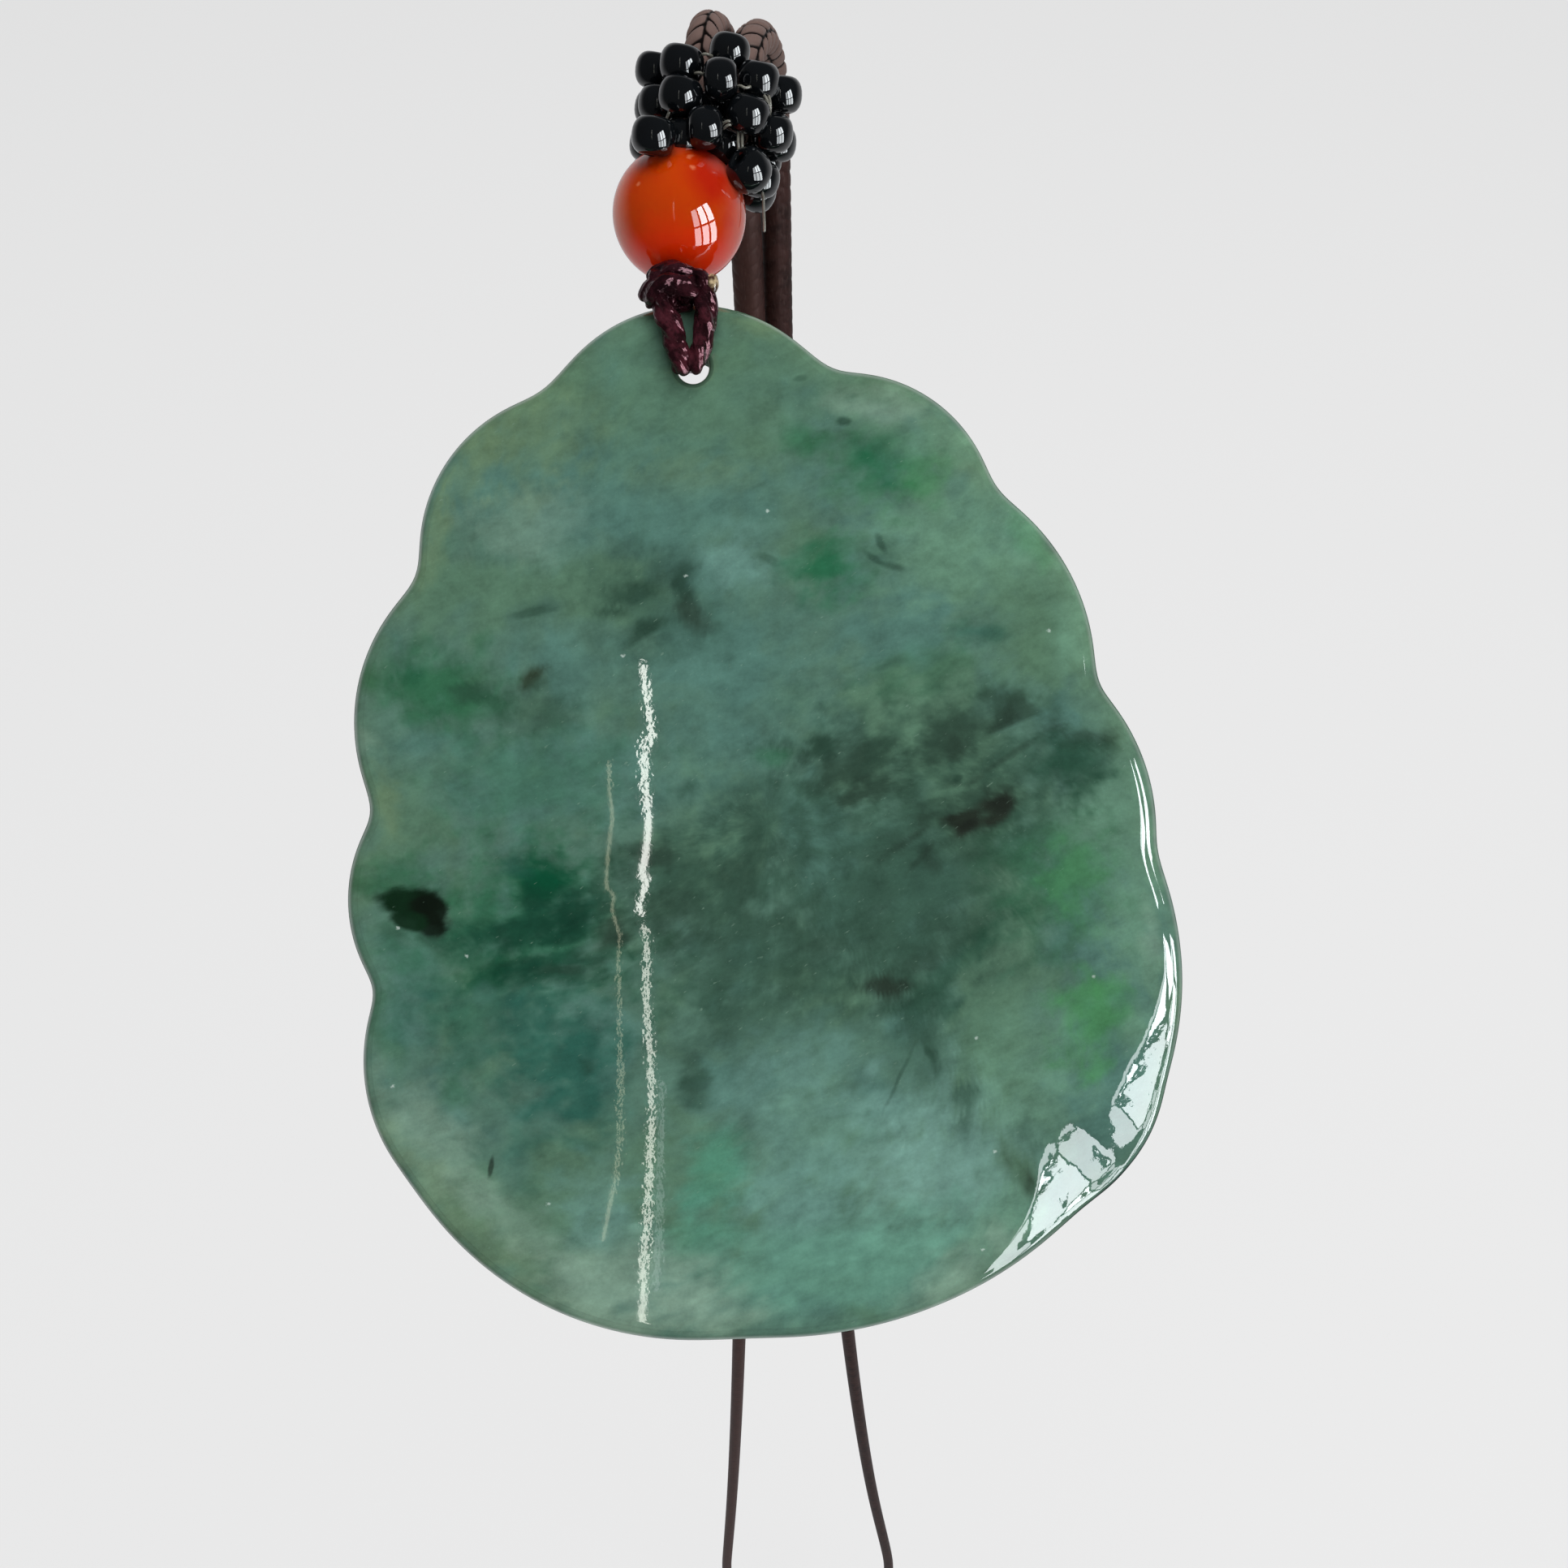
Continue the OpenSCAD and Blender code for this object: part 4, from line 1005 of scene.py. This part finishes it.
def makeSeedBeads():
    beads = seenBeads()
    addHiddenBeads(beads)
    settle(beads)
    bm = bmesh.new()
    for at, size, heading in beads:
        single = bmesh.new()
        spun(single, beadProfile(size), sleeve["sides"])
        bmesh.ops.transform(single, matrix=Matrix.Translation(at) @ heading, verts=single.verts)
        pour(single, bm)
    makePiece(bm, "seedBeads", beadFinish(), uprightPlace, ["bead_sleeve"])


makeSeedBeads()


# nylon line through the seed beads
nylon = {
    "diameter": 0.17, "curveStep": 0.1, "step": 0.12, "sides": 10, "tipReach": 0.12,
    "colours": {"clear": (150, 148, 138), "dim": (84, 84, 76)},
    "runs": [
        [(-1.7, -4.9, 41.1), (-1.72, -5.25, 40.7), (-1.7, -5.3, 40.0), (-1.66, -4.9, 39.3)],
        [(-1.5, -4.9, 41.0), (-1.48, -5.25, 40.6), (-1.46, -5.3, 39.9), (-1.5, -4.9, 39.2)],
        [(-0.3, -5.0, 43.0), (-0.1, -5.2, 42.8), (0.1, -5.2, 42.3), (0.15, -4.8, 41.8)],
        [(-0.1, -4.8, 43.3), (0.1, -5.0, 42.9), (0.22, -4.9, 42.4), (0.1, -4.5, 41.7)],
        [(-1.9, -5.2, 43.2), (-1.6, -5.7, 43.3), (-1.3, -5.6, 43.0), (-0.9, -5.5, 43.3), (-0.6, -5.0, 43.4)],
        [(-4.3, -5.6, 43.9), (-4.0, -5.9, 43.9), (-3.7, -5.8, 43.8), (-3.5, -5.2, 43.8)],
        [(-3.9, -5.2, 45.2), (-3.65, -5.6, 45.1), (-3.4, -5.5, 45.1), (-3.2, -5.0, 45.2)],
        [(-2.7, -5.4, 41.0), (-2.4, -5.9, 41.05), (-2.1, -5.8, 41.1), (-1.8, -5.3, 41.2)],
        [(-2.6, -5.3, 40.8), (-2.35, -5.8, 40.85), (-2.1, -5.7, 40.95), (-1.9, -5.3, 40.95)],
        [(-5.7, -5.4, 42.0), (-5.6, -5.9, 41.9), (-5.7, -6.0, 41.5), (-5.9, -5.5, 41.3)],
        [(-0.35, -2.6, 38.3), (-0.25, -3.1, 37.6), (-0.25, -3.1, 36.9), (-0.2, -3.0, 36.2),
         (-0.2, -2.9, 35.6)]]}


def nylonFinish():
    f = finishNamed("nylonLine", nylon)
    tint = f.cloud(f.drawing(), 2.5, 2)
    return f.close(f.surface(f.mix("clear", "dim", tint), 0.12, 1.53))


def addRun(bm, kind, route, radiusOf):
    # a tube along one run of a line or thread; radiusOf(line) gives its radius as for tube
    line = Line(pulledCurve(route, kind["curveStep"]))
    stations = stationsAlong(line.length, [], kind["step"])
    pour(tube(line, stations, kind["sides"], radiusOf(line)), bm)


def nylonRadius(line):
    def radius(around, along):
        return nylon["diameter"] / 2 * roundedEnds(along, line.length, nylon["tipReach"])
    return radius


def makeNylon():
    bm = bmesh.new()
    for route in nylon["runs"]:
        addRun(bm, nylon, route, nylonRadius)
    makePiece(bm, "nylonLine", nylonFinish(), uprightPlace, ["bead_sleeve"])


makeNylon()


# waxed thread: through the hole, up both faces to a knot over the rim, and up the bead's bore
thread = {
    "plies": 3, "twist": 3.0, "plyDepth": 0.16, "lumps": 0.2, "lumpScale": (1.3, 2), "seedStep": 5.3,
    "curveStep": 0.12, "step": 0.09, "sides": 28, "tipReach": 0.35,
    "colours": {"plum": (30, 11, 15), "rose": (68, 29, 37), "fibre": (104, 58, 70), "knotShade": (14, 5, 8),
                "amber": (184, 166, 132), "burnt": (66, 42, 30)},
    # the slant and sizes of fibres and facets on the map
    "fibreTurn": (0, 0, 8), "fibreSize": (0.05, 0.9, 1), "facetSize": (0.07, 0.9, 1),
    # the knot is painted darker than the strands below it, as painted shade: where that begins and is full
    "shadedFrom": (29.8, 30.6),
    # route, width at its start, width at its end
    "runs": [
        # through the hole, thin, then up the back and over the rim
        ([(-4.95, -5.5, 26.95), (-4.95, -4.7, 27.2), (-5.0, -2.4, 27.65), (-5.1, -0.3, 28.05),
          (-5.3, 0.7, 29.0), (-5.7, 0.6, 30.3), (-5.8, 0.0, 31.2), (-5.6, -1.4, 31.75), (-5.4, -3.0, 31.9),
          (-5.4, -5.0, 31.8)], 0.56, 1.15),
        ([(-4.4, -5.5, 27.2), (-4.5, -4.7, 27.5), (-4.6, -2.4, 27.8), (-4.75, -0.3, 28.1),
          (-4.6, 0.75, 29.0), (-4.5, 0.65, 30.3), (-4.7, 0.0, 31.2), (-5.0, -1.4, 31.7), (-5.2, -3.0, 31.8),
          (-5.2, -5.0, 31.7)], 0.56, 1.15),
        # the front pair, up to the knot
        ([(-4.85, -5.1, 26.75), (-4.95, -5.45, 26.8), (-5.1, -5.5, 27.45), (-5.42, -5.5, 28.5),
          (-5.85, -5.5, 29.6), (-6.1, -5.5, 30.7), (-6.2, -5.4, 31.5)], 1.35, 1.62),
        ([(-4.4, -5.1, 26.85), (-4.25, -5.45, 26.85), (-4.0, -5.5, 27.45), (-3.75, -5.5, 28.5),
          (-3.56, -5.5, 29.6), (-3.55, -5.5, 30.8), (-3.9, -5.4, 31.5)], 1.25, 1.6),
        # the knot's turns, its left and right ends
        ([(-7.0, -5.0, 30.95), (-6.9, -5.7, 31.1), (-5.9, -6.2, 31.65), (-4.8, -6.2, 31.35),
          (-4.2, -5.5, 30.95)], 1.45, 1.3),
        ([(-6.7, -5.0, 32.0), (-6.3, -5.7, 32.25), (-5.4, -6.0, 32.4), (-4.6, -5.8, 32.2),
          (-4.1, -5.1, 31.9)], 1.25, 1.15),
        ([(-6.8, -5.2, 31.5), (-5.5, -5.5, 31.75), (-4.2, -5.2, 31.4)], 2.2, 2.0),
        ([(-6.4, -4.7, 30.85), (-5.4, -4.9, 30.8), (-4.3, -4.7, 30.85)], 1.3, 1.3),
        ([(-6.85, -5.2, 31.6), (-6.95, -5.3, 31.0), (-6.8, -5.3, 30.3)], 0.75, 0.7),
        ([(-4.5, -5.4, 32.2), (-3.85, -5.8, 32.15), (-3.7, -5.8, 31.7), (-3.75, -5.6, 31.1)], 1.0, 0.95),
        # up the bead's bore
        ([(-5.3, -3.0, 31.7), (-5.3, -3.0, 36.0), (-5.3, -3.0, 40.9)], 1.0, 1.0)],
    "meltedEnd": (-3.2, -5.8, 31.6), "meltedSize": (0.42, 0.4, 0.56), "meltedLumps": (0.16, 1.6)}


def threadFinish():
    f = finishNamed("waxedThread", thread)
    place = f.drawing()
    weave = f.weave()
    fibre = f.cloud(f.stretch(weave, turn=thread["fibreTurn"], size=thread["fibreSize"]), 1.0, 4, 0.6)
    colour = f.mix("plum", "rose", f.ramp(f.cloud(place, 1.3, 4, 0.65), 0.38, 0.68))
    colour = f.mix(colour, "fibre", f.ramp(fibre, 0.6, 0.78, 0, 0.5))
    # painted shade over the knot
    colour = f.mix(colour, "knotShade", f.ramp(f.split(place)[2], *thread["shadedFrom"], 0, 0.55))
    facets = f.cloud(f.stretch(weave, turn=thread["fibreTurn"], size=thread["facetSize"]), 1.0, 1)
    bumped = f.bump(facets * 0.8 + f.cloud(place, 2.0, 1), 0.00014)
    rough = 0.1 + f.cloud(place, 3.0, 3) * 0.08
    return f.close(f.surface(colour, rough, 1.5, {"Specular Tint": (1, 0.5, 0.58, 1), "Normal": bumped}))


def meltedFinish():
    f = finishNamed("meltedEnd", thread)
    tint = f.cloud(f.drawing(), 2.2, 3)
    return f.close(f.surface(f.mix("amber", "burnt", f.ramp(tint, 0.4, 0.58)), 0.12, 1.5, {
        "Subsurface Weight": 0.3, "Subsurface Radius": (1.0, 0.7, 0.4), "Subsurface Scale": 0.0004}))


def pliedRadius(line, start, end, seed):
    # three plies twisted together, a little lumpy
    plies, twist = thread["plies"], thread["twist"]
    lumpsAlong, lumpsAround = thread["lumpScale"]

    def radius(around, along):
        ply = abs(math.sin(math.pi * (around * plies + along / twist * plies / 2)))
        lump = noise.noise(Vector((along * lumpsAlong, around * lumpsAround, seed)))
        width = start + (end - start) * min(1.0, along / line.length)
        shape = 1 - thread["plyDepth"] * 2 * (1 - ply) + thread["lumps"] * lump
        return width / 2 * shape * roundedEnds(along, line.length, thread["tipReach"])
    return radius


def makeThread():
    bm = bmesh.new()
    for number, (route, start, end) in enumerate(thread["runs"]):
        addRun(bm, thread, route, lambda line: pliedRadius(line, start, end, number * thread["seedStep"]))
    makePiece(bm, "waxedThread", threadFinish(), uprightPlace, ["waxed_thread"])


def makeMeltedEnd():
    # the thread's cut end, melted to a small amber drop
    bm = bmesh.new()
    bmesh.ops.create_icosphere(bm, subdivisions=4, radius=1)
    depth, scale = thread["meltedLumps"]
    for vert in bm.verts:
        vert.co *= 1 + depth * noise.noise(vert.co * scale)
    bmesh.ops.scale(bm, vec=thread["meltedSize"], verts=bm.verts)
    makePiece(bm, "meltedEnd", meltedFinish(), uprightPlace @ Matrix.Translation(thread["meltedEnd"]),
              ["waxed_thread"])


makeThread()
makeMeltedEnd()


# light, floor and room
room = {
    "floor": -0.4, "floorLight": 0.642, "floorShade": 0.22,
    "fill": 0.26, "seenRoom": 0.825, "mirrored": (0.05, 0.62),
    # window: middle, width and height of its six panes, in metres; it only draws reflections
    "windowAt": (0.44, -0.39, 0.10), "windowWidth": 0.46, "windowHeight": 0.74, "bar": 0.035,
    "paneLight": [[5, 12, 12], [6, 8, 9]], "paneTint": (0.92, 0.97, 1.0),
    # soft light on the surfaces: place, width, height, radiance
    "softLights": [((0.15, 0.1, 1.2), 1.0, 1.0, 3.4), ((0.6, -0.6, 0.35), 0.6, 0.6, 2.0)],
    # tall slits of daylight that draw the streaks, in millimetres: x, top, foot, width, radiance, tint
    "slitDepth": -500.0, "slitsFace": (0, -5, 0),
    "slits": [
        (-55.5, 53.0, -51.0, 3.2, 9.0, (1, 1, 0.94)), (-55.5, -55.0, -245.0, 2.4, 6.0, (1, 1, 0.9)),
        (-71.0, 16.0, -188.0, 1.3, 2.2, (1, 1, 0.7)), (-50.2, -117.0, -212.0, 2.4, 1.2, (0.9, 1, 1))],
    # the air's colour, and where it turns from one mirrored light to the other, by the share of facing front
    "air": (0.97, 0.98, 1.0, 1), "turnsPale": (0.1, -0.65)}


def makeFloor():
    f = finishNamed("paleFloor")
    shade = f.add("ShaderNodeBsdfDiffuse", {}, {"Color": (room["floorShade"],) * 3 + (1,)})
    glow = f.add("ShaderNodeEmission", {}, {"Color": (1, 1, 1, 1), "Strength": room["floorLight"]})
    material = f.close(f.add("ShaderNodeAddShader", {}, {0: shade, 1: glow}))
    bm = bmesh.new()
    place = Matrix.Translation((0, 0, room["floor"]))
    bmesh.ops.create_grid(bm, x_segments=2, y_segments=2, size=6, matrix=place)
    floor = makeObject(bm, "floor", material)
    floor.visible_glossy = False


def areaLight(name, at, right, up, width, height, radiance, tint=(1, 1, 1), glossy=True):
    # either seen in reflections only, or lighting the surfaces without being mirrored
    light = bpy.data.lights.new(name, "AREA")
    light.shape = "RECTANGLE"
    light.size, light.size_y = width, height
    light.energy = radiance * 4 * width * height
    light.color = tint
    holder = bpy.data.objects.new(name, light)
    turn = Matrix((right, up, right.cross(up))).transposed().to_4x4()
    holder.matrix_world = Matrix.Translation(at) @ turn
    holder.visible_camera = False
    holder.visible_glossy = glossy
    holder.visible_diffuse = not glossy
    bpy.context.scene.collection.objects.link(holder)


def makeLights():
    at = Vector(room["windowAt"])
    up = Vector((0, 0, 1))
    right = up.cross(Vector((at.x, at.y, 0)).normalized())
    columns, rows = len(room["paneLight"][0]), len(room["paneLight"])
    wide, high = room["windowWidth"] / columns, room["windowHeight"] / rows
    for row, lights in enumerate(room["paneLight"]):
        for column, radiance in enumerate(lights):
            middle = at + right * (column - (columns - 1) / 2) * wide + up * ((rows - 1) / 2 - row) * high
            areaLight("pane%d%d" % (row, column), middle, right, up, wide - room["bar"], high - room["bar"],
                      radiance, room["paneTint"])
    for number, (place, width, height, radiance) in enumerate(room["softLights"]):
        out = Vector(place).normalized()
        right = Vector((0, 1, 0)).cross(out).normalized()
        areaLight("soft%d" % number, Vector(place), right, out.cross(right), width, height, radiance,
                  glossy=False)
    for number, (x, top, foot, width, radiance, tint) in enumerate(room["slits"]):
        above, at, below = (upright(x, room["slitDepth"], z) for z in (top, (top + foot) / 2, foot))
        up = (above - below).normalized()
        right = up.cross(at - upright(*room["slitsFace"])).normalized()
        areaLight("slit%d" % number, at, right, up, width * mm, (top - foot) * mm, radiance, tint)


def makeWorld():
    f = Finish(bpy.data.worlds.new("room"))

    def background(strength):
        return f.add("ShaderNodeBackground", {}, {"Color": room["air"], "Strength": strength})

    def byRay(kind, others, these):
        return f.add("ShaderNodeMixShader", {}, {
            0: f.add("ShaderNodeLightPath", {}, {}, kind), 1: others, 2: these})

    # what polished surfaces mirror: dark in front of the pendant, pale behind it
    front = (upright(0, -1, 0) - upright(0, 0, 0)).normalized()
    heading = f.add("ShaderNodeTexCoord", {}, {}, "Generated")
    facing = f.add("ShaderNodeVectorMath", {"operation": "DOT_PRODUCT"}, {0: heading, 1: front}, "Value")
    mirrored = background(f.ramp(facing, *room["turnsPale"], *room["mirrored"]))
    lit = byRay("Is Glossy Ray", background(room["fill"]), mirrored)
    shown = byRay("Is Camera Ray", lit, background(room["seenRoom"]))
    bpy.context.scene.world = f.close(shown, "ShaderNodeOutputWorld")
    bpy.context.scene.view_settings.view_transform = "Standard"


makeFloor()
makeLights()
makeWorld()
print("room ready")
